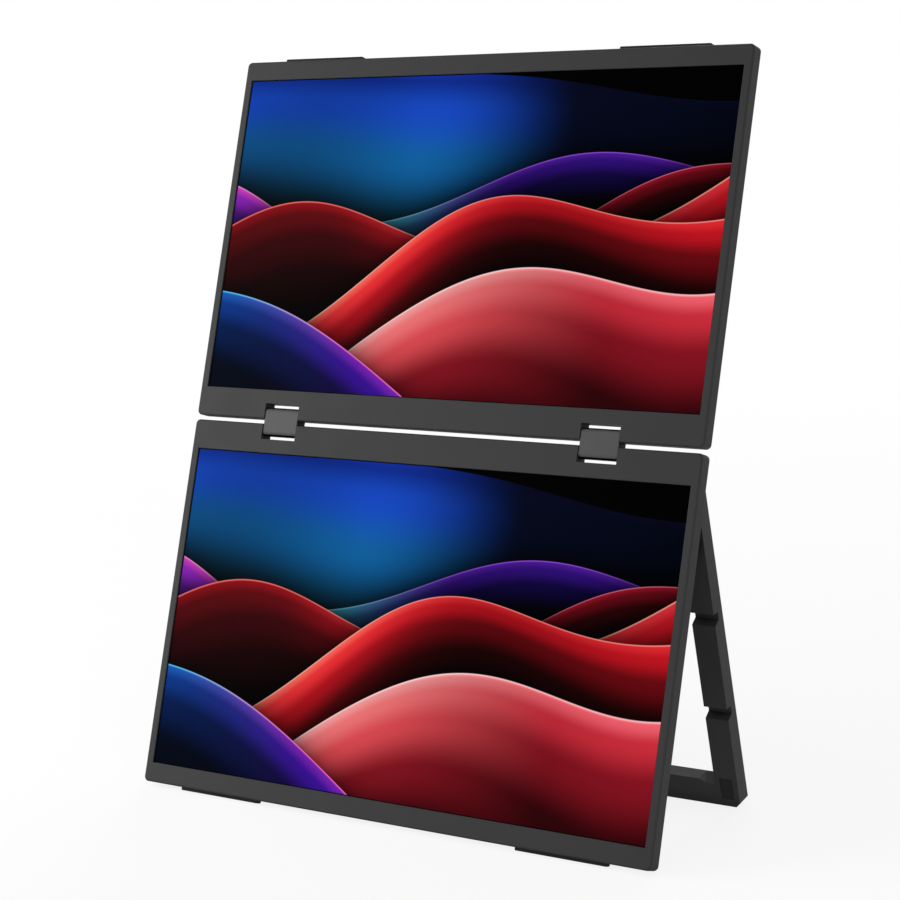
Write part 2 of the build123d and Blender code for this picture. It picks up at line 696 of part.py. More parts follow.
def leg_profile():
    """Return a leg's side view: a strip whose top is cut to lie on the cover when open."""
    apex = PIVOT_Z + KNUCKLE_R * tan(radians(OPEN_ANGLE / 2))
    slope = tan(radians(OPEN_ANGLE))
    tip_z = WEDGE_TOP - TIP_T / slope
    tip_y = STAND_BACK_Y - TIP_T
    points = [
        (STAND_FRONT_Y, STAND_BOTTOM),
        (STAND_BACK_Y, STAND_BOTTOM),
        (STAND_BACK_Y, tip_z),
        (tip_y, tip_z),
        (STAND_FRONT_Y, apex),
    ]
    return Plane.YZ * make_face(Polyline(points, close=True))


def leg_notch(drop):
    """Return one cross notch: square at its top, with a steep ramp at its bottom."""
    top = PIVOT_Z - drop
    floor_y = STAND_FRONT_Y + LEG_NOTCH_DEPTH
    front = STAND_FRONT_Y - 1
    low = top - LEG_NOTCH_H
    past = LEG_NOTCH_RAMP / LEG_NOTCH_DEPTH
    points = [(front, top), (floor_y, top), (floor_y, low + LEG_NOTCH_RAMP), (front, low - past)]
    face = Plane.YZ.offset(-HALF_W) * make_face(Polyline(points, close=True))
    return extrude(face, 2 * HALF_W)


def finger_scoop(side):
    """Return the sloping scoop in the bar's top front edge beside a leg."""
    inner = side * LEG_IN_X
    far = inner - side * SCOOP_W
    low = BAR_TOP - SCOOP_DROP
    over = BAR_TOP + 1
    front = STAND_FRONT_Y - 1
    back = STAND_FRONT_Y + SCOOP_DEPTH
    slope = [(front, low), (STAND_FRONT_Y, low), (back, BAR_TOP), (back, over), (front, over)]
    across = [(inner, low), (far + side * SCOOP_RAMP, low), (far, BAR_TOP), (far, over), (inner, over)]
    wedge = Pos(min(inner, far)) * extrude(Plane.YZ * make_face(Polyline(slope, close=True)), SCOOP_W)
    ends = extrude(Plane.XZ.offset(-back) * make_face(Polyline(across, close=True)), back - front)
    return wedge & ends


def corner_pad_block(side, y):
    """Return the space of one corner pad between two Y limits."""
    outer = side * (STAND_OUT_X - CORNER_PAD_SIDE)
    low = STAND_BOTTOM + CORNER_PAD_RISE
    x = sorted((outer, outer - side * CORNER_PAD_W))
    return block(x, y, (low, low + CORNER_PAD_H))


def stand_frame():
    """Return the folded U frame: two legs and the bar between their lower ends."""
    leg = Pos(LEG_IN_X) * extrude(leg_profile(), LEG_W)
    frame = leg + flip_x(leg)
    frame += block((-STAND_OUT_X, STAND_OUT_X), (STAND_FRONT_Y, STAND_BACK_Y), (STAND_BOTTOM, BAR_TOP))
    corners = frame.faces().sort_by(Axis.Z)[0].edges().filter_by(Axis.Y)
    frame = chamfer(corners, STAND_CHAMFER)
    backs = frame.faces().filter_by(Axis.Y).sort_by(Axis.Y)[-1].outer_wire().edges()
    frame = chamfer(backs, STAND_EDGE)
    for drop in LEG_NOTCH_TOP:
        frame -= leg_notch(drop)
    hole_end = PIN_IN_LEG + BUSH_END_GAP
    for side in (-1, 1):
        frame -= finger_scoop(side)
        frame -= corner_pad_block(side, (STAND_FRONT_Y, STAND_FRONT_Y + CORNER_PAD_T + CORNER_PAD_SET_BACK))
        hole_x = sorted((side * (LEG_IN_X - 1), side * (LEG_IN_X + hole_end)))
        frame -= rod_x(PIN_R + RUNNING_FIT + BUSH_T, hole_x, PIVOT_Y, PIVOT_Z)
    return frame


def stand_corner_pads():
    """Return the two dark pads that meet the cover when the stand is folded."""
    front = STAND_FRONT_Y + CORNER_PAD_SET_BACK
    return group([corner_pad_block(side, (front, front + CORNER_PAD_T)) for side in (-1, 1)])


def stand_bushes():
    """Return the bushes pressed into the legs round the pins."""
    bushes = []
    for side in (-1, 1):
        x = sorted((side * LEG_IN_X, side * (LEG_IN_X + PIN_IN_LEG)))
        bush = rod_x(PIN_R + RUNNING_FIT + BUSH_T, x, PIVOT_Y, PIVOT_Z)
        bushes.append(bush - rod_x(PIN_R + RUNNING_FIT, x, PIVOT_Y, PIVOT_Z))
    return group(bushes)


def stand_pin(side):
    """Return one headed pin through the housing wall into a leg."""
    head_x = side * (HOUSING_HALF_W - HOUSING_WALL - PIN_BOSS_L)
    head = rod_x(PIN_HEAD_R, sorted((head_x, head_x - side * PIN_HEAD_T)), PIVOT_Y, PIVOT_Z)
    return head + rod_x(PIN_R, sorted((head_x, side * (LEG_IN_X + PIN_IN_LEG))), PIVOT_Y, PIVOT_Z)


def speaker(side):
    """Return one flat speaker with its round cone facing the back."""
    back = HOUSING_BACK_Y - HOUSING_WALL
    centre = side * SPEAKER_X
    x = (centre - SPEAKER_W / 2, centre + SPEAKER_W / 2)
    case = block(x, (back - SPEAKER_T, back), speaker_z())
    case = fillet(case.edges().filter_by(Axis.Y), 2)
    return case - rod_y(CONE_R, centre, (back - CONE_DEPTH, back), sum(speaker_z()) / 2)


# Standing pose: the line from the pads' back edge to the foot of the stand is the floor
def open_point(y, z):
    """Return where a point of the folded stand lies when the stand is open."""
    turn = radians(OPEN_ANGLE)
    away, up = y - PIVOT_Y, z - PIVOT_Z
    return PIVOT_Y + away * cos(turn) - up * sin(turn), PIVOT_Z + away * sin(turn) + up * cos(turn)


PAD_EDGE = (PAD_Y[1], FAR_Z - PAD_PROUD)
FOOT_EDGE = open_point(STAND_FRONT_Y, STAND_BOTTOM)
LEAN = degrees(atan2(FOOT_EDGE[1] - PAD_EDGE[1], FOOT_EDGE[0] - PAD_EDGE[0]))
FLOOR_UP = (0, -sin(radians(LEAN)), cos(radians(LEAN)))
FLOOR_PLANE = Plane(origin=(0, *PAD_EDGE), x_dir=(1, 0, 0), z_dir=FLOOR_UP).offset(FLOOR_FLAT)


def wear_flat(shape):
    """Cut away what would reach below the floor."""
    reach = 4 * HALF_W
    below = FLOOR_PLANE * Pos(0, 0, -reach / 2) * Box(reach, reach, reach)
    return group([shape - below])


def screen_parts(prefix, place, rear_cover):
    """Return the nodes of one screen, each moved by the given function."""
    parts = {
        "front_bezel": front_bezel(),
        "rear_cover": rear_cover,
        "lcd_cell": lcd_cell(),
        "backlight": backlight(),
        "panel_tray": panel_tray(),
        "main_board": main_board(),
        "board_screws": board_screws(),
        "usb_c_sockets": usb_c_sockets(),
        "mini_hdmi_socket": mini_hdmi_socket(),
        "panel_ribbon": panel_ribbon(),
        "button_board": button_board(),
        "power_button": push_button(BUTTON_Z[0]),
        "menu_button": push_button(BUTTON_Z[1]),
        "hinge_bracket_left": hinge_bracket(-1),
        "hinge_bracket_right": hinge_bracket(1),
        "bracket_screws": bracket_screws(),
        "hinge_shafts": group([hinge_shaft(-1), hinge_shaft(1)]),
        "hinge_nuts": group([hinge_nut(-1), hinge_nut(1)]),
        "cover_screws": cover_screws(),
        "edge_pads": edge_pads(),
    }
    return {prefix + "_" + name: place(shape) for name, shape in parts.items()}


def as_drawn(shape):
    """Leave a piece where it was drawn."""
    return shape


nodes = screen_parts("lower", as_drawn, lower_rear_cover())
nodes.update(screen_parts("upper", flip_z, plain_rear_cover()))
nodes["lower_edge_pads"] = wear_flat(nodes["lower_edge_pads"])
for name, side in (("left", -1), ("right", 1)):
    nodes["hinge_block_" + name] = hinge_block(side)
    nodes["hinge_cap_" + name] = hinge_cap(side)
    nodes["speaker_" + name] = speaker(side)
    nodes["stand_pin_" + name] = stand_pin(side)
nodes["friction_sleeves"] = friction_sleeves()
nodes["stand_frame"] = wear_flat(swing_open(stand_frame()))
nodes["stand_corner_pads"] = swing_open(stand_corner_pads())
nodes["stand_bushes"] = swing_open(stand_bushes())

# Lean everything back, then set it on the floor with the origin under its middle
leaned = [Rot(X=-LEAN) * shape for shape in nodes.values()]
box = Compound(leaned).bounding_box()
to_origin = Pos(-(box.min.X + box.max.X) / 2, -(box.min.Y + box.max.Y) / 2, -box.min.Z)
STANDING = to_origin * Rot(X=-LEAN)

os.makedirs("parts", exist_ok=True)
for name, shape in nodes.items():
    export_step(STANDING * shape, "parts/" + name + ".step")
print("lean", round(LEAN, 3), "size", [round(value, 2) for value in box.size])
print("nodes", len(nodes))
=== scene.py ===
"""Looks, light and camera for two portable screens that stand one above the other.

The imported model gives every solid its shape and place. This file gives each of them a
finish, adds the small metal and plastic details that a solid model leaves out, and sets
a plain pale studio round the whole. Every length is in metres.
"""

import json
import logging
import math
from dataclasses import dataclass
from enum import Enum
from typing import Callable

import bpy
import numpy as np
from mathutils import Matrix, Vector


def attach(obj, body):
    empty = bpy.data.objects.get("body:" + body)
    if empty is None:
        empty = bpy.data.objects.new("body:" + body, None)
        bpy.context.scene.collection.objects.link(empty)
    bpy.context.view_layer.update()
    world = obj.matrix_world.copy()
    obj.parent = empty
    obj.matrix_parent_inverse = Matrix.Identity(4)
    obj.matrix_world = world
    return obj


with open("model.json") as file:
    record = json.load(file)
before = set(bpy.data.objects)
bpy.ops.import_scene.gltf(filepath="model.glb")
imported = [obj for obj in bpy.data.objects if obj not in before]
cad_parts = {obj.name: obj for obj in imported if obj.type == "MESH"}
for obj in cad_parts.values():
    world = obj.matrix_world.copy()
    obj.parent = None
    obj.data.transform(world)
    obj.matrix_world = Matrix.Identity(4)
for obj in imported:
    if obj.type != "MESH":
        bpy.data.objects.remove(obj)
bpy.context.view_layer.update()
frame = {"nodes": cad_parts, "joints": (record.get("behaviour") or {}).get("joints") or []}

log = logging.getLogger("screens")

Colour = tuple[float, float, float, float]
Levels = tuple[float, float, float]
Place = tuple[float, float, float]
Span = tuple[float, float]
Socket = bpy.types.NodeSocket
Value = Socket | float | tuple | Vector

MM = 0.001
# Near black that the finishes mix in where the occlusion mask finds a gap: painted shade.
CREVICE_SHADE = (8, 8, 8)
BLACK = (0.0, 0.0, 0.0, 1.0)
WHITE = (1.0, 1.0, 1.0, 1.0)
FOLD_CREST = ("Base", "Slope", "Swell", "Swell Rate", "Swell Phase", "Ripple", "Ripple Rate", "Ripple Phase")
FOLD_WIDTH = ("Width", "Sway", "Sway Rate", "Sway Phase")
FOLD_SHEEN = ("Sheen", "Sheen Rate", "Sheen Phase", "Sheen Lean")


def linear(levels: Levels) -> Colour:
    """Turn a colour of 0 to 255 levels, as a screen shows it, into linear light.

    Args:
        levels: red, green and blue, each from 0 to 255.

    Returns:
        Linear red, green and blue from 0 to 1, and an alpha of 1.
    """
    parts = np.asarray(levels, float) / 255
    light = np.where(parts > 0.04045, ((parts + 0.055) / 1.055) ** 2.4, parts / 12.92)
    return (float(light[0]), float(light[1]), float(light[2]), 1.0)


class Graph:
    """A node tree under construction: each method adds one node and returns its result."""

    def __init__(self, tree: bpy.types.NodeTree) -> None:
        """Work on a tree that is there already."""
        self.tree = tree

    def link(self, source: Socket, node: bpy.types.Node, name: str | int) -> None:
        """Link a socket to a node's named or numbered input."""
        self.tree.links.new(source, node.inputs[name])

    def add(self, kind: str, inputs: dict[str | int, Value] | None = None,
            **settings: object) -> bpy.types.Node:
        """Add a node, set its properties, and link or set its inputs.

        Args:
            kind: the node's type, such as ShaderNodeMath.
            inputs: what goes into each named or numbered socket, a socket or a plain value.
            settings: the node's own properties.

        Returns:
            The new node.
        """
        node = self.tree.nodes.new(kind)
        for name, setting in settings.items():
            setattr(node, name, setting)
        for key, value in (inputs or {}).items():
            if isinstance(value, Socket):
                self.link(value, node, key)
            else:
                node.inputs[key].default_value = value
        return node

    def math(self, operation: str, *values: Value, clamp: bool = False) -> Socket:
        """Combine numbers with one arithmetic step, named as Blender names it."""
        node = self.add("ShaderNodeMath", dict(enumerate(values)), operation=operation, use_clamp=clamp)
        return node.outputs[0]

    def vector(self, operation: str, *values: Value) -> bpy.types.Node:
        """Combine vectors with one arithmetic step, and return the node itself."""
        return self.add("ShaderNodeVectorMath", dict(enumerate(values)), operation=operation)

    def mix(self, factor: Value, first: Value, second: Value, blend: str = "MIX") -> Socket:
        """Blend two colours; a factor of 0 gives the first."""
        inputs = {0: factor, 6: first, 7: second}
        return self.add("ShaderNodeMix", inputs, data_type="RGBA", blend_type=blend).outputs[2]

    def span(self, value: Value, low: float, high: float, ends: Span = (0.0, 1.0),
             smooth: bool = True) -> Socket:
        """Carry a value from the range low to high over to the range between the ends, and hold it."""
        inputs = {0: value, 1: low, 2: high, 3: ends[0], 4: ends[1]}
        kind = "SMOOTHSTEP" if smooth else "LINEAR"
        return self.add("ShaderNodeMapRange", inputs, interpolation_type=kind, clamp=True).outputs[0]

    def ramp(self, value: Value, stops: tuple[tuple[float, Levels], ...]) -> Socket:
        """Give a colour for a value from 0 to 1, eased between stops of a place and a colour."""
        node = self.add("ShaderNodeValToRGB", {0: value})
        band = node.color_ramp
        band.interpolation = "EASE"
        for place, _ in stops[2:]:
            band.elements.new(place)
        for element, (place, levels) in zip(band.elements, stops):
            element.position = place
            element.color = linear(levels)
        return node.outputs[0]

    def relief(self, height: Socket, distance: float, normal: Socket | None = None) -> Socket:
        """Give the normal of a surface that is raised by a height times a distance."""
        inputs = {"Strength": 1.0, "Distance": distance, "Height": height}
        if normal is not None:
            inputs["Normal"] = normal
        return self.add("ShaderNodeBump", inputs).outputs[0]

    def noise(self, where: Value, scale: Value, detail: float = 2.0, roughness: float = 0.5) -> Socket:
        """Give soft random values about 0.5, with scale waves a metre."""
        inputs = {"Vector": where, "Scale": scale, "Detail": detail, "Roughness": roughness}
        return self.add("ShaderNodeTexNoise", inputs).outputs[0]


def new_group(name: str, inputs: dict[str, float | str],
              outputs: dict[str, str]) -> tuple[Graph, dict[str, Socket], bpy.types.Node]:
    """Start a shader node group with named sockets.

    Args:
        name: the group's name.
        inputs: each input's name with its default number, or the word vector.
        outputs: each output's name with its kind: value, colour or vector.

    Returns:
        The graph to build in, its input sockets by name, and the output node.
    """
    kinds = {"value": "NodeSocketFloat", "colour": "NodeSocketColor", "vector": "NodeSocketVector"}
    tree = bpy.data.node_groups.new(name, "ShaderNodeTree")
    for label, start in inputs.items():
        kind = kinds["vector"] if start == "vector" else kinds["value"]
        socket = tree.interface.new_socket(label, in_out="INPUT", socket_type=kind)
        if start != "vector":
            socket.default_value = start
    for label, kind in outputs.items():
        tree.interface.new_socket(label, in_out="OUTPUT", socket_type=kinds[kind])
    graph = Graph(tree)
    entry = graph.add("NodeGroupInput")
    sockets = {label: entry.outputs[label] for label in inputs}
    return graph, sockets, graph.add("NodeGroupOutput")


def skin_group() -> bpy.types.NodeTree:
    """Build the fine spark-eroded skin that a steel mould leaves on plastic.

    Height is fine noise over noise of three times the wavelength. Tone is slow cloud-like
    noise that stands for handling and slightly uneven pigment. Gloss mixes both.

    Returns:
        The group, with inputs Vector, Grain and Cloud and outputs Height, Tone and Gloss.
    """
    graph, put, end = new_group(
        "moulded_skin",
        {"Vector": "vector", "Grain": 3000.0, "Cloud": 18.0},
        {"Height": "value", "Tone": "value", "Gloss": "value"},
    )
    fine = graph.noise(put["Vector"], put["Grain"], 1.0, 0.6)
    coarse = graph.noise(put["Vector"], graph.math("DIVIDE", put["Grain"], 3.1), 1.0)
    height = graph.math("MULTIPLY_ADD", coarse, 0.6, graph.math("MULTIPLY", fine, 0.4))
    cloud = graph.noise(put["Vector"], put["Cloud"], 3.0, 0.55)
    tone = graph.span(cloud, 0.3, 0.7)
    gloss = graph.math("MULTIPLY_ADD", fine, 0.35, graph.math("MULTIPLY", tone, 0.65))
    for label, socket in (("Height", height), ("Tone", tone), ("Gloss", gloss)):
        graph.link(socket, end, label)
    return graph.tree


def edge_and_shade_group() -> bpy.types.NodeTree:
    """Build the rounded, slightly rubbed edges, and the openness mask by which the finishes paint shade into
    crevices.

    The rounded normal comes from rays over a small radius. Where it leaves the true normal
    there is an edge, and the rubbed mask is that difference broken up by noise. Open is the
    share of short rays from a point that meet nothing, so it is 1 on a free face and falls
    towards 0 deep in a gap. The finishes paint their colour darker where it is low, as painted shade.

    Returns:
        The group, with inputs Vector, Radius, Rub and Reach and outputs Normal, Worn and Open.
    """
    graph, put, end = new_group(
        "rubbed_edge_and_painted_shade",
        {"Vector": "vector", "Radius": 0.0002, "Rub": 0.0005, "Reach": 0.014},
        {"Normal": "vector", "Worn": "value", "Open": "value"},
    )
    soft = graph.add("ShaderNodeBevel", {"Radius": put["Radius"]}, samples=4).outputs[0]
    wide = graph.add("ShaderNodeBevel", {"Radius": put["Rub"]}, samples=4).outputs[0]
    true = graph.add("ShaderNodeNewGeometry").outputs["True Normal"]
    together = graph.vector("DOT_PRODUCT", wide, true).outputs["Value"]
    edge = graph.span(graph.math("SUBTRACT", 1.0, together), 0.01, 0.22)
    broken = graph.span(graph.noise(put["Vector"], 900.0, 3.0, 0.65), 0.35, 0.68)
    # Ambient occlusion: this is the mask for the painted shade in gaps and recesses.
    free = graph.add("ShaderNodeAmbientOcclusion", {"Distance": put["Reach"]}, samples=6).outputs["AO"]
    graph.link(graph.span(free, 0.3, 0.75), end, "Open")
    graph.link(soft, end, "Normal")
    graph.link(graph.math("MULTIPLY", edge, broken), end, "Worn")
    return graph.tree


def fold_group() -> bpy.types.NodeTree:
    """Build one silky fold of the picture on the screens.

    The crest is a straight line plus two sine waves along X, and Depth is the distance
    below it over a width that sways along X too. Cover is 1 under the crest. Shadow falls
    off above the crest as e to the power of minus the distance. Sheen is a slow sine over
    X and the distance, held back at the crest so that the bright rim stays whole.

    Returns:
        The group, with the inputs below and outputs Depth, Cover, Shadow and Sheen.
    """
    names = ("X", "Y") + FOLD_CREST + FOLD_WIDTH + FOLD_SHEEN
    outputs = {"Depth": "value", "Cover": "value", "Shadow": "value", "Sheen": "value"}
    graph, put, end = new_group("silky_fold", dict.fromkeys(names, 0.0), outputs)
    shadow_reach, crest_blur, rim = 0.07, 0.0016, 0.03

    def wave(size: str, rate: str, phase: str, more: Value | None = None) -> Socket:
        """Give size times the sine of rate times X plus phase and an extra angle."""
        angle = graph.math("MULTIPLY_ADD", put["X"], put[rate], put[phase])
        if more is not None:
            angle = graph.math("ADD", angle, more)
        return graph.math("MULTIPLY", graph.math("SINE", angle), put[size])

    line = graph.math("MULTIPLY_ADD", put["X"], put["Slope"], put["Base"])
    crest = graph.math("ADD", line, wave("Swell", "Swell Rate", "Swell Phase"))
    crest = graph.math("ADD", crest, wave("Ripple", "Ripple Rate", "Ripple Phase"))
    below = graph.math("SUBTRACT", crest, put["Y"])
    width = graph.math("ADD", put["Width"], wave("Sway", "Sway Rate", "Sway Phase"))
    depth = graph.math("DIVIDE", below, width)
    away = graph.math("MINIMUM", graph.math("DIVIDE", below, shadow_reach), 0.0)
    lean = graph.math("MULTIPLY", below, put["Sheen Lean"])
    swing = wave("Sheen", "Sheen Rate", "Sheen Phase", lean)
    dim = graph.math("MULTIPLY", graph.math("ADD", put["Sheen"], swing), 0.5)
    held = graph.math("MULTIPLY", dim, graph.span(depth, 0.0, rim))
    graph.link(depth, end, "Depth")
    graph.link(graph.span(below, -crest_blur, crest_blur), end, "Cover")
    graph.link(graph.math("EXPONENT", away), end, "Shadow")
    graph.link(graph.math("SUBTRACT", 1.0, held), end, "Sheen")
    return graph.tree


class Kit:
    """The node groups that the finishes share, each built once when it is first asked for."""

    made: dict[str, bpy.types.NodeTree] = {}

    @classmethod
    def place(cls, graph: Graph, build: Callable[[], bpy.types.NodeTree],
              inputs: dict[str, Value]) -> bpy.types.Node:
        """Place a shared group in a material.

        Args:
            graph: the material's graph.
            build: the function that makes the group.
            inputs: the values or sockets for this place.

        Returns:
            The group node.
        """
        if build.__name__ not in cls.made:
            cls.made[build.__name__] = build()
        return graph.add("ShaderNodeGroup", inputs, node_tree=cls.made[build.__name__])


def start_material(name: str) -> tuple[bpy.types.Material, Graph, bpy.types.Node, Socket]:
    """Start a material that holds a Principled shader and the piece's own coordinates.

    Args:
        name: the material's name.

    Returns:
        The material, its graph, the shader, and the Object coordinates.
    """
    material = bpy.data.materials.new(name)
    material.use_nodes = True
    material.node_tree.nodes.clear()
    graph = Graph(material.node_tree)
    shader = graph.add("ShaderNodeBsdfPrincipled")
    graph.add("ShaderNodeOutputMaterial", {"Surface": shader.outputs[0]})
    return material, graph, shader, graph.add("ShaderNodeTexCoord").outputs["Object"]


@dataclass(frozen=True)
class Moulding:
    """Moulded plastic or rubber: a dark tone, a fine skin, softly rubbed edges, and painted shade in gaps
    and recesses.
    """

    name: str
    deep: Levels
    pale: Levels
    rough: Span
    specular: float
    grain: float = 0.00035
    bump: float = 0.00001
    edge: float = 0.00015
    rub: float = 0.0004
    rubbed: float = 0.35
    slot: str = ""

    def material(self) -> bpy.types.Material:
        """Build the material: tone and gloss follow the skin, worn edges turn paler and shinier, and gaps
        and recesses are painted near black as shade.
        """
        material, graph, shader, where = start_material(self.name)
        skin = Kit.place(graph, skin_group, {"Vector": where, "Grain": 1 / self.grain, "Cloud": 22.0})
        edge = Kit.place(graph, edge_and_shade_group, {"Vector": where, "Radius": self.edge, "Rub": self.rub})
        worn = graph.math("MULTIPLY", edge.outputs["Worn"], self.rubbed)
        clean = graph.mix(skin.outputs["Tone"], linear(self.deep), linear(self.pale))
        # Painted shade: where the occlusion mask finds a gap, the colour turns towards near black.
        tone = graph.mix(edge.outputs["Open"], linear(CREVICE_SHADE), clean)
        rubbed = linear(tuple(min(255.0, level * 1.5 + 8) for level in self.pale))
        gloss = graph.span(skin.outputs["Gloss"], 0.2, 0.8, self.rough, smooth=False)
        normal = graph.relief(skin.outputs["Height"], self.bump, edge.outputs["Normal"])
        graph.link(graph.mix(worn, tone, rubbed), shader, "Base Color")
        graph.link(graph.math("MULTIPLY_ADD", worn, -0.12, gloss), shader, "Roughness")
        graph.link(normal, shader, "Normal")
        shader.inputs["Specular IOR Level"].default_value = self.specular
        return material


@dataclass(frozen=True)
class Metal:
    """Plated, rolled or turned metal with faint lines from the tool along one axis."""

    name: str
    deep: Levels
    pale: Levels
    rough: Span
    lines: Place
    bump: float = 0.000004
    # The share of the clean colour kept in the deepest gap; the rest is painted shade.
    clean_share_in_shade: float = 0.75
    slot: str = ""

    def material(self) -> bpy.types.Material:
        """Build the material: stretched noise gives the tool lines, and slow noise the tarnish. In gaps the
        colour is painted partly darker as shade.
        """
        material, graph, shader, where = start_material(self.name)
        stretched = graph.add("ShaderNodeMapping", {"Vector": where, "Scale": self.lines}).outputs[0]
        line = graph.noise(stretched, 1.0, 3.0, 0.6)
        tarnish = graph.span(graph.noise(where, 260.0, 4.0, 0.6), 0.35, 0.7)
        edge = Kit.place(graph, edge_and_shade_group, {"Vector": where, "Radius": 0.0001, "Rub": 0.0003})
        blend = graph.math("MULTIPLY_ADD", line, 0.45, graph.math("MULTIPLY", tarnish, 0.55))
        clean = graph.mix(blend, linear(self.deep), linear(self.pale))
        # Painted shade: in gaps the colour turns partly towards near black.
        shown = graph.span(edge.outputs["Open"], 0.0, 1.0, (self.clean_share_in_shade, 1.0), smooth=False)
        graph.link(graph.mix(shown, linear(CREVICE_SHADE), clean), shader, "Base Color")
        graph.link(graph.span(blend, 0.2, 0.8, self.rough, smooth=False), shader, "Roughness")
        graph.link(graph.relief(line, self.bump, edge.outputs["Normal"]), shader, "Normal")
        shader.inputs["Metallic"].default_value = 1.0
        return material


@dataclass(frozen=True)
class Lines:
    """A flat sheet with fine parallel lines: the tracks of a board or the wires of a ribbon."""

    name: str
    ground: Levels
    line: Levels
    pitch: float
    share: float
    rough: Span
    stray: float
    blur: float = 0.06
    bump: float = 0.00003
    slot: str = ""

    def material(self) -> bpy.types.Material:
        """Build the material: a saw wave across the sheet, bent by noise, marks the lines."""
        material, graph, shader, where = start_material(self.name)
        bent = graph.noise(where, 60.0, 2.0)
        axes = graph.add("ShaderNodeSeparateXYZ", {0: where})
        across = graph.math("MULTIPLY_ADD", bent, self.stray, axes.outputs["X"])
        saw = graph.math("FRACT", graph.math("DIVIDE", across, self.pitch))
        track = graph.span(saw, self.share - self.blur, self.share + self.blur, (1.0, 0.0))
        speck = graph.noise(where, 1500.0, 2.0)
        graph.link(graph.mix(track, linear(self.ground), linear(self.line)), shader, "Base Color")
        graph.link(graph.span(speck, 0.3, 0.7, self.rough, smooth=False), shader, "Roughness")
        graph.link(graph.relief(track, self.bump), shader, "Normal")
        return material


@dataclass(frozen=True)
class Perforated:
    """A thin dark sheet with small round holes in staggered rows; the holes are painted near black as the
    shade of the inside behind them.
    """

    name: str
    sheet: Levels
    hole: Levels
    pitch: float
    rough: Span
    hole_edge: Span = (0.26, 0.32)
    bump: float = 0.0001
    slot: str = ""

    def material(self) -> bpy.types.Material:
        """Build the material: a hole is where a point lies near the middle of its own cell.

        Rows run along X, and every second row is shifted by half a cell.
        """
        material, graph, shader, where = start_material(self.name)
        axes = graph.add("ShaderNodeSeparateXYZ", {0: where})
        row = graph.math("DIVIDE", axes.outputs["Z"], self.pitch)
        shift = graph.math("MULTIPLY", graph.math("MODULO", graph.math("FLOOR", row), 2.0), 0.5)
        column = graph.math("ADD", graph.math("DIVIDE", axes.outputs["X"], self.pitch), shift)
        from_middle = {index: graph.math("SUBTRACT", graph.math("FRACT", place), 0.5)
                       for index, place in enumerate((column, row))}
        centred = graph.add("ShaderNodeCombineXYZ", from_middle)
        off = graph.vector("LENGTH", centred.outputs[0]).outputs["Value"]
        solid = graph.span(off, *self.hole_edge)
        speck = graph.noise(where, 1800.0, 2.0)
        # Painted shade: the holes take the near-black hole colour for the shaded inside seen through them.
        graph.link(graph.mix(solid, linear(self.hole), linear(self.sheet)), shader, "Base Color")
        graph.link(graph.span(speck, 0.3, 0.7, self.rough, smooth=False), shader, "Roughness")
        graph.link(graph.relief(solid, self.bump), shader, "Normal")
        return material


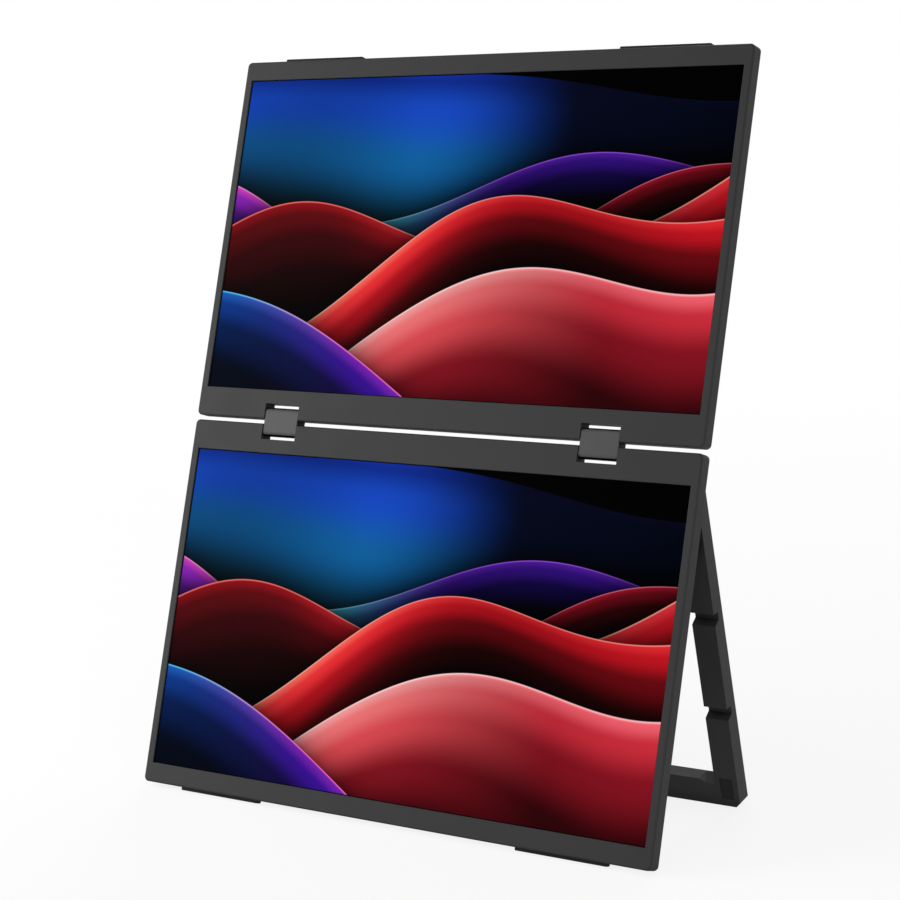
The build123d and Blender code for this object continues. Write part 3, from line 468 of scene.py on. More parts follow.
class Finish(Enum):
    """Every finish; it belongs to the material slot of its own name, unless it names another."""

    BEZEL = Moulding("bezel_plastic", (46, 46, 47), (50, 50, 51), (0.5, 0.62), 0.12)
    COVER = Moulding("cover_plastic", (46, 46, 47), (51, 51, 52), (0.55, 0.68), 0.14,
                     grain=0.0005, bump=0.00002)
    STAND = Moulding("stand_plastic", (45, 45, 45), (50, 50, 50), (0.5, 0.62), 0.14,
                     grain=0.0004, bump=0.000015)
    CAP = Moulding("hinge_cap_plastic", (68, 68, 69), (75, 75, 76), (0.44, 0.54), 0.16,
                   bump=0.000006, rubbed=0.3)
    BUTTON = Moulding("button_plastic", (44, 44, 45), (50, 50, 51), (0.4, 0.5), 0.45, rubbed=0.6)
    BUSH = Moulding("bush_plastic", (196, 192, 180), (214, 210, 200), (0.4, 0.55), 0.4, rubbed=0.1)
    SPEAKER = Moulding("speaker_plastic", (24, 24, 25), (34, 34, 35), (0.55, 0.7), 0.3)
    GUIDE = Moulding("light_guide", (214, 218, 220), (232, 235, 236), (0.3, 0.45), 0.5, rubbed=0.0)
    RUBBER = Moulding("black_rubber", (22, 22, 22), (30, 30, 30), (0.72, 0.85), 0.2,
                      grain=0.0003, bump=0.00003, rubbed=0.2)
    PAINT = Metal("hinge_paint", (13, 13, 14), (24, 24, 25), (0.46, 0.6), (400, 4000, 4000))
    STEEL = Metal("plain_steel", (150, 150, 152), (188, 188, 190), (0.28, 0.42), (300, 5000, 5000))
    SCREW = Metal("black_screw", (30, 30, 31), (52, 52, 54), (0.32, 0.46), (3000, 3000, 3000))
    SHELL = Metal("socket_metal", (158, 158, 160), (196, 196, 198), (0.22, 0.34), (300, 4000, 4000))
    BRONZE = Metal("sleeve_bronze", (146, 108, 62), (178, 138, 84), (0.3, 0.42), (400, 4000, 4000))
    SHEET = Metal("tray_sheet", (140, 142, 144), (172, 174, 176), (0.34, 0.5), (200, 3000, 3000))
    BOARD = Lines("circuit_board", (14, 52, 34), (34, 88, 56), 0.0011, 0.35, (0.3, 0.45), 0.004)
    RIBBON = Lines("flat_ribbon", (92, 56, 16), (168, 112, 44), 0.0005, 0.5, (0.3, 0.4), 0.0)
    TONGUE = Moulding("socket_tongue", (20, 20, 21), (27, 27, 28), (0.4, 0.5), 0.4, slot="speaker_plastic")
    CONE = Moulding("speaker_cone", (36, 36, 37), (48, 48, 49), (0.6, 0.75), 0.3,
                    grain=0.0006, bump=0.00004, rubbed=0.0, slot="speaker_plastic")
    GOLD = Metal("gold_plate", (196, 150, 70), (226, 184, 104), (0.2, 0.3), (300, 4000, 4000),
                 slot="sleeve_bronze")
    # The holes' near black is painted shade for the inside behind the mesh.
    MESH = Perforated("vent_mesh", (52, 52, 53), (3, 3, 3), 0.0009, (0.4, 0.55), slot="tray_sheet")

    @property
    def slot(self) -> str:
        """The record's material slot for pieces of this finish."""
        return self.value.slot or self.value.name

    def material(self) -> bpy.types.Material:
        """Return the finish's material, built when it is first asked for."""
        found = bpy.data.materials.get("look_" + self.value.name)
        if found is None:
            found = self.value.material()
            found.name = "look_" + self.value.name
        return found


@dataclass(frozen=True)
class Fold:
    """One fold of the picture: its crest, its width, its sheen and its colours at both ends."""

    crest: tuple[float, ...]
    width: tuple[float, ...]
    sheen: tuple[float, ...]
    turn: float
    left: tuple[tuple[float, Levels], ...]
    right: tuple[tuple[float, Levels], ...]


def bands(*colours: Levels,
          places: tuple[float, ...] = (0.0, 0.014, 0.11, 0.3, 0.6, 1.0)) -> tuple[tuple[float, Levels], ...]:
    """Pair each colour with its place between a fold's crest and its far side."""
    return tuple(zip(places, colours))


@dataclass
class Picture:
    """A generic picture of layered silky folds, worked out from sine waves."""

    width: float = 0.34416
    height: float = 0.19359
    turn_span: float = 0.62
    shadow: float = 0.8
    folds: tuple[Fold, ...] = (
        Fold((0.99, -0.02, 0.05, 2.2, 0.6, 0.01, 6.0, 1.0),
             (0.85, 0.12, 1.9, 0.0), (0.55, 3.4, 0.4, 2.2), 0.95,
             bands((18, 48, 160), (28, 86, 224), (20, 112, 184), (10, 76, 102), (5, 42, 46), (2, 6, 6),
                   places=(0.0, 0.12, 0.3, 0.5, 0.72, 1.0)),
             bands((4, 8, 28), (4, 10, 32), (2, 4, 16), (0, 0, 0), places=(0.0, 0.2, 0.45, 1.0))),
        Fold((0.66, -0.03, 0.13, 2.7, 3.9, 0.015, 6.3, 0.2),
             (0.34, 0.10, 3.1, 0.6), (0.35, 5.0, 2.0, 3.0), 0.75,
             bands((102, 240, 232), (26, 160, 164), (15, 111, 120), (10, 68, 64), (4, 28, 24), (0, 3, 2)),
             bands((176, 96, 255), (90, 34, 176), (58, 20, 144), (24, 10, 80), (5, 3, 24), (0, 0, 0))),
        Fold((0.53, 0.02, 0.16, 3.0, 2.35, 0.012, 8.0, 2.0),
             (0.27, 0.07, 2.2, 1.0), (0.3, 4.2, 1.0, 2.0), 0.9,
             bands((255, 176, 216), (240, 76, 224), (176, 48, 230), (100, 32, 160), (50, 10, 48), (8, 0, 4)),
             bands((255, 140, 156), (176, 24, 48), (124, 14, 28), (60, 6, 12), (20, 2, 4), (2, 0, 0))),
        Fold((0.40, 0.16, 0.15, 3.0, 1.0, 0.015, 6.5, 0.0),
             (0.40, 0.12, 2.6, 2.4), (0.4, 4.5, 2.6, 4.0), 0.7,
             bands((255, 122, 112), (140, 16, 24), (92, 10, 16), (54, 6, 10), (26, 3, 4), (4, 0, 1)),
             bands((255, 176, 156), (224, 48, 58), (196, 24, 36), (122, 12, 20), (48, 5, 8), (6, 0, 1))),
        Fold((0.20, 0.27, 0.14, 3.5, 4.5, 0.012, 7.0, 1.4),
             (0.36, 0.12, 3.4, 0.4), (0.35, 5.5, 0.8, 3.0), 0.8,
             bands((255, 208, 192), (255, 106, 92), (242, 52, 56), (184, 20, 32), (90, 8, 14), (6, 0, 1),
                   places=(0.0, 0.01, 0.09, 0.24, 0.48, 0.9)),
             bands((255, 154, 144), (224, 40, 48), (192, 20, 32), (108, 10, 18), (40, 4, 6), (0, 0, 0))),
        Fold((-0.14, 0.36, 0.17, 2.9, 5.3, 0.012, 6.0, 0.7),
             (0.50, 0.10, 2.8, 3.0), (0.3, 4.0, 3.3, 2.5), 1.15,
             bands((255, 230, 224), (255, 164, 164), (255, 124, 126), (240, 82, 90), (150, 24, 38),
                   (26, 3, 6)),
             bands((255, 192, 196), (240, 96, 108), (200, 44, 58), (128, 18, 30), (44, 4, 8), (4, 0, 1))),
        Fold((0.25, -0.36, 0.10, 3.1, 0.5, 0.012, 5.0, 1.9),
             (0.40, 0.08, 2.0, 0.0), (0.3, 7.0, 0.0, 3.0), 0.28,
             bands((88, 216, 255), (21, 96, 192), (12, 60, 144), (6, 32, 84), (2, 10, 28), (0, 2, 6)),
             bands((255, 112, 200), (112, 32, 168), (52, 16, 138), (18, 8, 56), (4, 2, 16), (0, 0, 0))),
    )

    def draw(self, graph: Graph, along: Value, up: Value) -> Socket:
        """Lay the folds over black, from the farthest to the nearest.

        Args:
            graph: the material's graph.
            along: the place across the picture, in picture heights from its left side.
            up: the place up the picture, in picture heights from its foot.

        Returns:
            The picture's colour.
        """
        colour: Value = BLACK
        half = self.turn_span / 2
        for fold in self.folds:
            waves = zip(FOLD_CREST + FOLD_WIDTH + FOLD_SHEEN, fold.crest + fold.width + fold.sheen)
            node = Kit.place(graph, fold_group, {"X": along, "Y": up, **dict(waves)})
            depth = node.outputs["Depth"]
            turn = graph.span(along, fold.turn - half, fold.turn + half)
            own = graph.mix(turn, graph.ramp(depth, fold.left), graph.ramp(depth, fold.right))
            lit = graph.vector("SCALE", own)
            graph.link(node.outputs["Sheen"], lit, "Scale")
            shaded = graph.math("MULTIPLY", node.outputs["Shadow"], self.shadow)
            under = graph.mix(shaded, colour, BLACK)
            colour = graph.mix(node.outputs["Cover"], under, lit.outputs[0])
        return colour


@dataclass(frozen=True)
class Lie:
    """How the drawn upright object lies back in the frame."""

    angle: float
    origin: Vector

    @classmethod
    def measured(cls, half_depth: float) -> "Lie":
        """Read the lean from the line between the two hinge axes.

        Args:
            half_depth: how far behind the front face both axes lie.

        Returns:
            The lean, with its origin on the front face half way between the axes.
        """
        hinges = [joint for joint in frame["joints"] if joint["type"] == "hinge"]
        places = {joint["name"]: Vector(joint["pos_m"]) for joint in hinges}
        low, high = places["lower_hinge_axis"], places["upper_hinge_axis"]
        angle = math.atan2(high.y - low.y, high.z - low.z)
        inward = Vector((0.0, math.cos(angle), -math.sin(angle)))
        return cls(angle, (low + high) / 2 - inward * half_depth)

    def matrix(self) -> Matrix:
        """Return the turn and shift that stand a drawn point in the frame."""
        return Matrix.Translation(self.origin) @ Matrix.Rotation(-self.angle, 4, "X")

    def place(self, points: np.ndarray) -> np.ndarray:
        """Stand an array of drawn points in the frame."""
        turn = np.array(self.matrix())
        return points @ turn[:3, :3].T + turn[:3, 3]


class Side(Enum):
    """The two screens; the value is the sign of their places along the panels."""

    LOWER = -1
    UPPER = 1

    @property
    def prefix(self) -> str:
        """The start of the names of this screen's nodes."""
        return self.name.lower()

    @property
    def body(self) -> str:
        """The body that this screen rides on."""
        return self.prefix + "_monitor"


def grid_faces(rows: int, columns: int, closed: bool = False) -> np.ndarray:
    """Number the four corners of each face of a grid of points.

    Args:
        rows: points along the first parameter.
        columns: points along the second parameter.
        closed: whether the second parameter runs round and meets itself.

    Returns:
        An array with four corner numbers a face.
    """
    across = columns if closed else columns - 1
    row, column = np.meshgrid(np.arange(rows - 1), np.arange(across), indexing="ij")
    beside = (column + 1) % columns
    start, end = row * columns, (row + 1) * columns
    return np.stack((start + column, start + beside, end + beside, end + column), axis=-1).reshape(-1, 4)


def rounded_ring(half: Span, radius: float, steps: int = 4) -> np.ndarray:
    """Draw a rectangle with round corners.

    A point is the centre of its own corner plus the radius times the cosine and the sine
    of the turn, which runs through a quarter turn at each of the four corners.

    Args:
        half: half of the width and half of the height.
        radius: the corners' radius.
        steps: points less one at each corner.

    Returns:
        One row of two numbers for each point, once round, anticlockwise.
    """
    turn = (np.arange(4)[:, None] + np.linspace(0, 1, steps + 1)) * (np.pi / 2)
    across = (half[0] - radius) * np.array([1, -1, -1, 1])[:, None] + radius * np.cos(turn)
    up = (half[1] - radius) * np.array([1, 1, -1, -1])[:, None] + radius * np.sin(turn)
    return np.stack([across, up], axis=-1).reshape(-1, 2)


@dataclass(frozen=True)
class Form:
    """A closed surface: its corners, and its faces in arrays by how many corners they have."""

    points: np.ndarray
    faces: tuple[np.ndarray, ...]

    @classmethod
    def slab(cls, half: Span, depth: float, radius: float, edge: float, axis: int) -> "Form":
        """Make a flat plate with round corners, whose front and back edges are cut at 45 degrees.

        A point is the rounded rectangle, smaller by the edge on the first and last of four
        rings, set along the axis at 0, the edge, the depth less the edge, and the depth.

        Args:
            half: half sizes along the two axes that follow the given one in the order X, Y, Z, X.
            depth: the size along the given axis, from 0.
            radius: the corners' radius.
            edge: the width of the cut edges.
            axis: 0 for X, 1 for Y, 2 for Z.

        Returns:
            The plate, with its back face's middle at the origin.
        """
        insets = np.array([edge, 0, 0, edge])
        along = np.array([0, edge, depth - edge, depth])
        flat = np.stack([rounded_ring((half[0] - inset, half[1] - inset), radius - inset)
                         for inset in insets])
        level = np.broadcast_to(along[:, None, None], (*flat.shape[:2], 1))
        return cls.stack(np.roll(np.concatenate([flat, level], axis=-1), axis + 1, axis=-1))

    @classmethod
    def turned(cls, profile: np.ndarray, axis: int, spokes: int = 32,
               lobes: np.ndarray | None = None) -> "Form":
        """Carry a profile round an axis.

        A point is its radius times the cosine and the sine of the turn. The radius may
        swing with the cosine of six times the turn, by its own lobe size.

        Args:
            profile: rows of a radius and a place along the axis.
            axis: 0 for X, 1 for Y, 2 for Z.
            spokes: points once round.
            lobes: how far the radius swings, for each row of the profile.

        Returns:
            The form, closed from the last row to the first like a ring.
        """
        turn = np.arange(spokes) * (2 * np.pi / spokes)
        swing = np.zeros(len(profile)) if lobes is None else lobes
        radius = profile[:, :1] + swing[:, None] * np.cos(6 * turn)
        level = np.broadcast_to(profile[:, 1:], radius.shape)
        rings = np.stack([radius * np.cos(turn), radius * np.sin(turn), level], axis=-1)
        rows = len(profile)
        faces = grid_faces(rows + 1, spokes, closed=True) % (rows * spokes)
        return cls(np.roll(rings, axis + 1, axis=-1).reshape(-1, 3), (faces,))

    @classmethod
    def stack(cls, rings: np.ndarray) -> "Form":
        """Close a stack of rings: neighbours are joined, and the first and last are filled flat.

        Args:
            rings: rings by points by three, each ring right-handed about the stack's direction.

        Returns:
            The closed form.
        """
        rows, columns = rings.shape[:2]
        once = np.arange(columns)
        ends = np.stack([once[::-1], once + (rows - 1) * columns])
        return cls(rings.reshape(-1, 3), (grid_faces(rows, columns, closed=True), ends))

    def at(self, places: list[Place]) -> "Form":
        """Repeat the form, once at each place."""
        shifts = np.asarray(places, float)
        points = (shifts[:, None] + self.points).reshape(-1, 3)
        starts = np.arange(len(shifts))[:, None, None] * len(self.points)
        return Form(points, tuple((starts + block).reshape(-1, block.shape[1]) for block in self.faces))

    @classmethod
    def joined(cls, forms: list["Form"]) -> "Form":
        """Join forms into one, each as a separate shell."""
        starts = np.cumsum([0] + [len(form.points) for form in forms])
        faces = [block + start for form, start in zip(forms, starts) for block in form.faces]
        return cls(np.vstack([form.points for form in forms]), tuple(faces))

    def mirrored(self) -> "Form":
        """Mirror the form about the hinge line, and turn its faces outwards again."""
        return Form(self.points * (1, 1, -1), tuple(block[:, ::-1] for block in self.faces))


@dataclass(frozen=True)
class Maker:
    """Turns forms drawn upright into pieces that stand in the frame and ride on their bodies."""

    lie: Lie

    def piece(self, name: str, form: Form, body: str, finish: Finish) -> bpy.types.Object:
        """Make a piece of the object.

        Args:
            name: the piece's name.
            form: its surface, drawn in the axes of the upright screens.
            body: the body that it moves with.
            finish: its finish, whose material goes on the mesh.

        Returns:
            The new object, at the origin with its place in its mesh.
        """
        mesh = bpy.data.meshes.new(name)
        faces = [face for block in form.faces for face in block.tolist()]
        mesh.from_pydata(self.lie.place(form.points).tolist(), [], faces)
        mesh.materials.append(finish.material())
        piece = bpy.data.objects.new(name, mesh)
        bpy.context.scene.collection.objects.link(piece)
        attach(piece, body)
        finish.slot
        log.info("made %s on %s: %d faces", name, body, len(faces))
        return piece

    def screen_piece(self, side: Side, name: str, form: Form, finish: Finish, key: str = "") -> None:
        """Make a piece of one screen, mirrored about the hinge line on the upper one.

        Args:
            side: the screen.
            name: the piece's name without the screen's.
            form: its surface, drawn on the lower screen.
            finish: its finish.
            key: the button whose body it rides on, or nothing for the screen's own body.
        """
        placed = form.mirrored() if side is Side.UPPER else form
        body = f"{side.prefix}_{key}_key" if key else side.body
        self.piece(f"{side.prefix}_{name}", placed, body, finish)


@dataclass(frozen=True)
class Lamp:
    """A soft rectangular lamp: its name, its place, its width and height, and its watts."""

    name: str
    at: Place
    size: Span
    power: float


@dataclass
class Studio:
    """The pale floor, the soft lamps, the sky, and the camera in the axes of the upright screens."""

    lie: Lie
    lamps: tuple[Lamp, ...] = (
        Lamp("key_lamp", (-1.2, -0.6, 0.6), (0.9, 0.9), 17.5),
        Lamp("side_lamp", (1.7, -1.3, 0.5), (0.7, 0.7), 12.5),
        Lamp("back_lamp", (-0.4, 2.0, 1.6), (1.8, 1.2), 20.0),
    )
    aim: Place = (0.0, 0.0, 0.2)
    floor_radius: float = 40.0
    floor_rings: int = 24
    floor_spokes: int = 64
    floor_drop: float = 0.02 * MM
    floor_level: Levels = (247, 247, 247)
    clear_range: Span = (0.2, 1.3)
    near_white: float = 0.85
    sky: float = 0.4
    camera_at: Place = (0.79321, -1.14274, -0.13815)
    camera_right: Place = (0.82573, 0.54787, 0.13415)
    camera_up: Place = (-0.05963, -0.15170, 0.98662)
    camera_reach: float = 200.0
    lens: float = 96.565
    sensor: float = 36.0

    def build(self) -> None:
        """Make everything that is not part of the object."""
        self.add_floor()
        self.add_sky()
        for lamp in self.lamps:
            self.add_lamp(lamp)
        self.add_camera()
        log.info("studio is set")

    def add_floor(self) -> None:
        """Lay a round floor: rings of points whose radius grows as the square of their number."""
        rings, spokes = self.floor_rings, self.floor_spokes
        radius = self.floor_radius * (np.arange(1, rings + 1) / rings) ** 2
        turn = np.arange(spokes) * (2 * np.pi / spokes)
        points = np.stack([np.outer(radius, np.cos(turn)), np.outer(radius, np.sin(turn)),
                           np.zeros((rings, spokes))], axis=-1).reshape(-1, 3)
        mesh = bpy.data.meshes.new("floor")
        fan = [(i, (i + 1) % spokes, len(points)) for i in range(spokes)]
        faces = grid_faces(rings, spokes, closed=True)[:, ::-1].tolist() + fan
        mesh.from_pydata(np.vstack([points, [[0, 0, 0]]]).tolist(), [], faces)
        floor = bpy.data.objects.new("floor", mesh)
        bpy.context.scene.collection.objects.link(floor)
        floor.location.z = -self.floor_drop
        mesh.materials.append(self.floor_material())

    def floor_material(self) -> bpy.types.Material:
        """Build a pale matt floor that turns into plain white away from the object, to the camera."""
        material, graph, shader, where = start_material("floor_paint")
        tone = graph.noise(where, 40.0, 3.0)
        pale = linear(self.floor_level)
        deep = linear(tuple(level - 3 for level in self.floor_level))
        graph.link(graph.mix(tone, deep, pale), shader, "Base Color")
        shader.inputs["Roughness"].default_value = 0.9
        shader.inputs["Specular IOR Level"].default_value = 0.1
        distance = graph.vector("LENGTH", where).outputs["Value"]
        far = graph.span(distance, *self.clear_range, (self.near_white, 1.0))
        clear = graph.math("MULTIPLY", far, self.seen_rays(graph))
        glow = graph.add("ShaderNodeEmission", {"Color": WHITE, "Strength": 1.0})
        blend = graph.add("ShaderNodeMixShader", {0: clear, 1: shader.outputs[0], 2: glow.outputs[0]})
        out = next(node for node in material.node_tree.nodes if node.type == "OUTPUT_MATERIAL")
        graph.link(blend.outputs[0], out, "Surface")
        return material

    @staticmethod
    def seen_rays(graph: Graph) -> Socket:
        """Give 1 for rays from the camera, from gloss and through glass, and 0 for diffuse light."""
        path = graph.add("ShaderNodeLightPath")
        seen = graph.math("ADD", path.outputs["Is Camera Ray"], path.outputs["Is Glossy Ray"])
        return graph.math("ADD", seen, path.outputs["Is Transmission Ray"], clamp=True)

    def add_sky(self) -> None:
        """Light the object with an even pale sky that the camera sees as plain white."""
        world = bpy.data.worlds.new("sky")
        world.use_nodes = True
        world.node_tree.nodes.clear()
        bpy.context.scene.world = world
        graph = Graph(world.node_tree)
        light = graph.add("ShaderNodeBackground", {"Color": WHITE, "Strength": self.sky})
        white = graph.add("ShaderNodeBackground", {"Color": WHITE, "Strength": 1.0})
        inputs = {0: self.seen_rays(graph), 1: light.outputs[0], 2: white.outputs[0]}
        blend = graph.add("ShaderNodeMixShader", inputs)
        graph.add("ShaderNodeOutputWorld", {"Surface": blend.outputs[0]})

    def add_lamp(self, lamp: Lamp) -> None:
        """Hang one lamp that faces the middle of the object."""
        light = bpy.data.lights.new(lamp.name, "AREA")
        light.shape = "RECTANGLE"
        light.size, light.size_y = lamp.size
        light.energy = lamp.power
        holder = bpy.data.objects.new(lamp.name, light)
        holder.location = lamp.at
        holder.rotation_euler = (Vector(self.aim) - Vector(lamp.at)).to_track_quat("-Z", "Y").to_euler()
        bpy.context.scene.collection.objects.link(holder)

    def add_camera(self) -> None:
        """Set the camera where the photograph was taken from."""
        right, up = Vector(self.camera_right).normalized(), Vector(self.camera_up).normalized()
        back = right.cross(up).normalized()
        up = back.cross(right)
        turn = Matrix((right, up, back)).transposed().to_4x4()
        camera = bpy.data.cameras.new("camera")
        camera.sensor_fit = "HORIZONTAL"
        camera.sensor_width = self.sensor
        camera.lens = self.lens
        camera.clip_end = self.camera_reach
        holder = bpy.data.objects.new("camera", camera)
        holder.matrix_world = self.lie.matrix() @ Matrix.Translation(self.camera_at) @ turn
        bpy.context.scene.collection.objects.link(holder)
        bpy.context.scene.camera = holder


@dataclass
class Panel:
    """One screen: its glass with the picture, and the pieces round it."""

    side: Side
    lie: Lie
    picture: Picture
    hinge_to_picture: float = 19.9 * MM
    glass_front: float = 1.0 * MM
    face_fit: float = 0.05 * MM
    glass_rough: Span = (0.3, 0.36)
    glass_specular: float = 0.004
    finishes: tuple[tuple[str, Finish], ...] = (
        ("front_bezel", Finish.BEZEL),
        ("rear_cover", Finish.COVER),
        ("backlight", Finish.GUIDE),
        ("panel_tray", Finish.SHEET),
        ("main_board", Finish.BOARD),
        ("board_screws", Finish.SCREW),
        ("usb_c_sockets", Finish.SHELL),
        ("mini_hdmi_socket", Finish.SHELL),
        ("panel_ribbon", Finish.RIBBON),
        ("button_board", Finish.BOARD),
        ("power_button", Finish.BUTTON),
        ("menu_button", Finish.BUTTON),
        ("hinge_bracket_left", Finish.STEEL),
        ("hinge_bracket_right", Finish.STEEL),
        ("bracket_screws", Finish.SCREW),
        ("hinge_shafts", Finish.STEEL),
        ("hinge_nuts", Finish.STEEL),
        ("cover_screws", Finish.SCREW),
        ("edge_pads", Finish.RUBBER),
    )

    def build(self) -> None:
        """Dress every piece of this screen."""
        for name, finish in self.finishes:
            dress(f"{self.side.prefix}_{name}", finish.material())
        dress(f"{self.side.prefix}_lcd_cell", self.glass())

    def glass(self) -> bpy.types.Material:
        """Build the dark matt glass that shows the picture within its black border.

        The piece's own coordinates are turned back by the lean about the middle of the
        picture, so that X runs across the picture and Z runs up it.
        """
        material, graph, shader, where = start_material(f"look_{self.side.prefix}_screen_glass")
        picture = self.picture
        rise = self.side.value * (self.hinge_to_picture + picture.height / 2)
        middle = self.lie.matrix() @ Vector((0.0, self.glass_front, rise))
        turn = {"Vector": where, "Location": middle, "Rotation": (-self.lie.angle, 0.0, 0.0)}
        turned = graph.add("ShaderNodeMapping", turn, vector_type="TEXTURE")
        axes = graph.add("ShaderNodeSeparateXYZ", {0: turned.outputs[0]})
        aspect = picture.width / picture.height
        along = graph.math("MULTIPLY_ADD", axes.outputs["X"], 1 / picture.height, aspect / 2)
        up = graph.math("MULTIPLY_ADD", axes.outputs["Z"], 1 / picture.height, 0.5)
        colour = picture.draw(graph, along, up)
        shown: Value = 1.0
        for axis, half in (("X", picture.width / 2), ("Z", picture.height / 2), ("Y", self.face_fit)):
            within = graph.math("LESS_THAN", graph.math("ABSOLUTE", axes.outputs[axis]), half)
            shown = graph.math("MULTIPLY", shown, within)
        graph.link(graph.mix(shown, BLACK, colour), shader, "Emission Color")
        shader.inputs["Emission Strength"].default_value = 1.0
        speck = graph.noise(where, 2500.0, 2.0)
        graph.link(graph.mix(speck, BLACK, linear((2, 2, 2))), shader, "Base Color")
        graph.link(graph.span(speck, 0.3, 0.7, self.glass_rough), shader, "Roughness")
        shader.inputs["Specular IOR Level"].default_value = self.glass_specular
        return material


@dataclass
class Edge:
    """The left edge of one screen: what its sockets and buttons show close up."""

    side: Side
    maker: Maker
    port_y: float = 5.9 * MM
    tongue_x: float = -176.25 * MM
    tongue_depth: float = 5.2 * MM
    tongue_half_t: float = 0.4 * MM
    tongue_corner: float = 0.25 * MM
    tongue_cut: float = 0.08 * MM
    contact_x: float = -175.95 * MM
    contact_depth: float = 2.6 * MM
    contact_half: Span = (0.43 * MM, 0.13 * MM)
    contact_corner: float = 0.03 * MM
    contact_cut: float = 0.02 * MM
    button_face: float = -177.65 * MM
    mark_height: float = 0.07 * MM
    mark_half_w: float = 0.42 * MM
    mark_corner: float = 0.41 * MM
    mark_cut: float = 0.05 * MM
    sockets: tuple[tuple[float, float, int, float], ...] = (
        (-92.0 * MM, 3.35 * MM, 12, 0.5 * MM),
        (-108.0 * MM, 3.35 * MM, 12, 0.5 * MM),
        (-126.0 * MM, 4.15 * MM, 10, 0.75 * MM),
    )
    marks: tuple[tuple[str, float, float], ...] = (
        ("power_button", -172.0 * MM, 0.42 * MM),
        ("menu_button", -190.0 * MM, 1.5 * MM),
    )

    def build(self) -> None:
        """Make the tongues, their contacts and the marks on the buttons."""
        tongues, contacts = [], []
        strip = Form.slab(self.contact_half, self.contact_depth, self.contact_corner, self.contact_cut, 0)
        for z, half_w, count, pitch in self.sockets:
            half = (self.tongue_half_t, half_w)
            plate = Form.slab(half, self.tongue_depth, self.tongue_corner, self.tongue_cut, 0)
            tongues.append(plate.at([(self.tongue_x, self.port_y, z)]))
            rows = (np.arange(count) - (count - 1) / 2) * pitch + z
            contacts.append(strip.at([(self.contact_x, self.port_y, row) for row in rows]))
        self.maker.screen_piece(self.side, "socket_tongues", Form.joined(tongues), Finish.TONGUE)
        self.maker.screen_piece(self.side, "socket_contacts", Form.joined(contacts), Finish.GOLD)
        for key, z, half_l in self.marks:
            half = (self.mark_half_w, half_l)
            mark = Form.slab(half, 2 * self.mark_height, self.mark_corner, self.mark_cut, 0)
            placed = mark.at([(self.button_face - self.mark_height, self.port_y, z)])
            self.maker.screen_piece(self.side, key + "_mark", placed, Finish.BUTTON, key)


@dataclass
class Fasteners:
    """What the screw heads and the hinge shafts of one screen show close up."""

    side: Side
    maker: Maker
    screw_x: tuple[float, ...] = (-165.0 * MM, -60.0 * MM, 0.0, 60.0 * MM, 165.0 * MM)
    screw_z: float = -10.0 * MM
    drive_y: Span = (8.58 * MM, 8.98 * MM)
    drive_r: Span = (0.5 * MM, 0.74 * MM)
    drive_lobe: float = 0.11 * MM
    drive_spokes: int = 48
    hinge_x: float = 112.0 * MM
    axis_y: float = 4.5 * MM
    axis_z: float = -5.85 * MM
    washer_x: Span = (12.5 * MM, 12.76 * MM)
    washer_r: Span = (1.56 * MM, 2.7 * MM)
    washer_cut: float = 0.06 * MM

    def build(self) -> None:
        """Make the six-lobed drives of the cover screws, and the washers on the hinge shafts."""
        low, high = self.drive_y
        inner, outer = self.drive_r
        profile = np.array([[inner, low], [outer, low], [outer, high], [inner, high]])
        lobes = np.array([self.drive_lobe, 0, 0, self.drive_lobe])
        drive = Form.turned(profile, 1, self.drive_spokes, lobes)
        drives = drive.at([(x, 0, self.screw_z) for x in self.screw_x])
        self.maker.screen_piece(self.side, "screw_drives", drives, Finish.SCREW)
        near, far = self.washer_x
        inner, outer = self.washer_r
        cut = self.washer_cut
        profile = np.array([[inner, near], [outer - cut, near], [outer, near + cut],
                            [outer, far - cut], [outer - cut, far], [inner, far]])
        centres = [side * self.hinge_x + shift for side in (-1, 1) for shift in (0, -near - far)]
        washers = Form.turned(profile, 0).at([(x, self.axis_y, self.axis_z) for x in centres])
        self.maker.screen_piece(self.side, "hinge_washers", washers, Finish.STEEL)


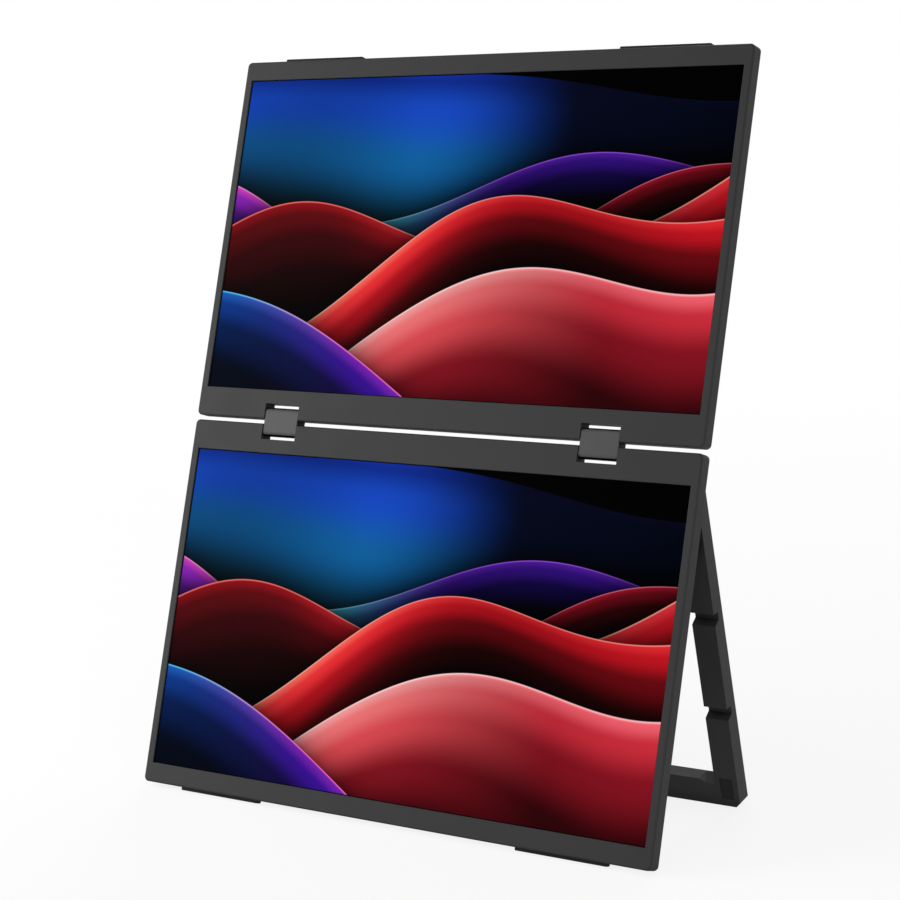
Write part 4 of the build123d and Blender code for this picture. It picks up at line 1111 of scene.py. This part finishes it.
@dataclass
class Housing:
    """What shows through the slots of the raised housing: the mesh and the speakers' cones."""

    maker: Maker
    wall_y: float = 17.7 * MM
    mesh_half: Span = (7.6 * MM, 72.0 * MM)
    mesh_z: float = -42.06 * MM
    mesh_t: float = 0.2 * MM
    mesh_gap: float = 0.02 * MM
    mesh_corner: float = 1.0 * MM
    mesh_cut: float = 0.05 * MM
    speaker_x: float = 118.15 * MM
    speaker_z: float = -175.9 * MM
    case_dip: float = 1.18 * MM
    cone_r: float = 6.3 * MM
    cone_low: float = 0.02 * MM
    cone_foot: float = 0.1 * MM
    cone_spokes: int = 40
    roll_share: float = 0.24
    roll_rise: float = 0.35 * MM
    slope_rise: float = 0.9 * MM
    cap_share: float = 0.38
    cap_rise: float = 0.5 * MM

    def build(self) -> None:
        """Make the mesh behind the vents and the two paper cones behind the grilles."""
        mesh = Form.slab(self.mesh_half, self.mesh_t, self.mesh_corner, self.mesh_cut, 1)
        placed = mesh.at([(0, self.wall_y - self.mesh_t - self.mesh_gap, self.mesh_z)])
        self.maker.piece("vent_mesh", placed, Side.LOWER.body, Finish.MESH)
        cone = self.cone().at([(side * self.speaker_x, 0, self.speaker_z) for side in (-1, 1)])
        self.maker.piece("speaker_cones", cone, Side.LOWER.body, Finish.CONE)

    def cone(self) -> Form:
        """Draw a paper cone with its roll and its dust cap.

        The height over the case's dip falls from the roll to the cap's edge in a straight
        line, rises in half a cosine wave over the roll, and in a cosine dome over the cap.
        """
        floor = self.wall_y - self.case_dip
        roll_in, cap_out = 1 - self.roll_share, self.cap_share
        radius = np.concatenate([np.linspace(1.0, roll_in, 9), np.linspace(0.74, 0.4, 5),
                                 np.linspace(cap_out, 0.02, 9)])
        swell = np.sin(np.clip((1 - radius) / self.roll_share, 0, 1) * np.pi) * self.roll_rise
        roll = np.where(radius > 0.75, swell, 0)
        slope = np.clip(radius - cap_out, 0, cap_out) * self.slope_rise
        cap = np.where(radius <= cap_out, np.cos(radius / cap_out * np.pi / 2) * self.cap_rise, 0)
        height = floor + self.cone_foot + roll + slope + cap
        turn = np.arange(self.cone_spokes) * (2 * np.pi / self.cone_spokes)
        spread = self.cone_r * radius
        level = np.broadcast_to(height[:, None], (len(radius), self.cone_spokes))
        rings = np.stack([np.outer(spread, np.cos(turn)), np.outer(spread, np.sin(turn)), level], axis=-1)
        under = rings[:1].copy()
        under[..., 2] = floor + self.cone_low
        return Form.stack(np.roll(np.concatenate([under, rings]), 2, axis=-1))


def dress(node: str, material: bpy.types.Material) -> None:
    """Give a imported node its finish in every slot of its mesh."""
    mesh = frame["nodes"][node].data
    if not mesh.materials:
        mesh.materials.append(material)
    for index in range(len(mesh.materials)):
        mesh.materials[index] = material
    log.info("dressed %s", node)


@dataclass
class HingePair:
    """The two blocks between the screens, with their caps and sleeves."""

    def build(self) -> None:
        """Dress the blocks, caps and sleeves."""
        for end in ("left", "right"):
            dress(f"hinge_block_{end}", Finish.PAINT.material())
            dress(f"hinge_cap_{end}", Finish.CAP.material())
        dress("friction_sleeves", Finish.BRONZE.material())


@dataclass
class Stand:
    """The folding stand, its pins and bushes, and the speakers inside the housing it folds round."""

    def build(self) -> None:
        """Dress the stand and what belongs to it."""
        dress("stand_frame", Finish.STAND.material())
        dress("stand_corner_pads", Finish.RUBBER.material())
        dress("stand_bushes", Finish.BUSH.material())
        for end in ("left", "right"):
            dress(f"stand_pin_{end}", Finish.STEEL.material())
            dress(f"speaker_{end}", Finish.SPEAKER.material())


def main() -> None:
    """Build the whole scene in order."""
    logging.basicConfig(level=logging.INFO, format="%(name)s %(message)s")
    bpy.context.scene.view_settings.view_transform = "Standard"
    lie = Lie.measured(half_depth=4.5 * MM)
    picture = Picture()
    maker = Maker(lie)
    for side in Side:
        Panel(side, lie, picture).build()
        Edge(side, maker).build()
        Fasteners(side, maker).build()
    Housing(maker).build()
    HingePair().build()
    Stand().build()
    Studio(lie).build()


if __name__ == "__main__":
    main()
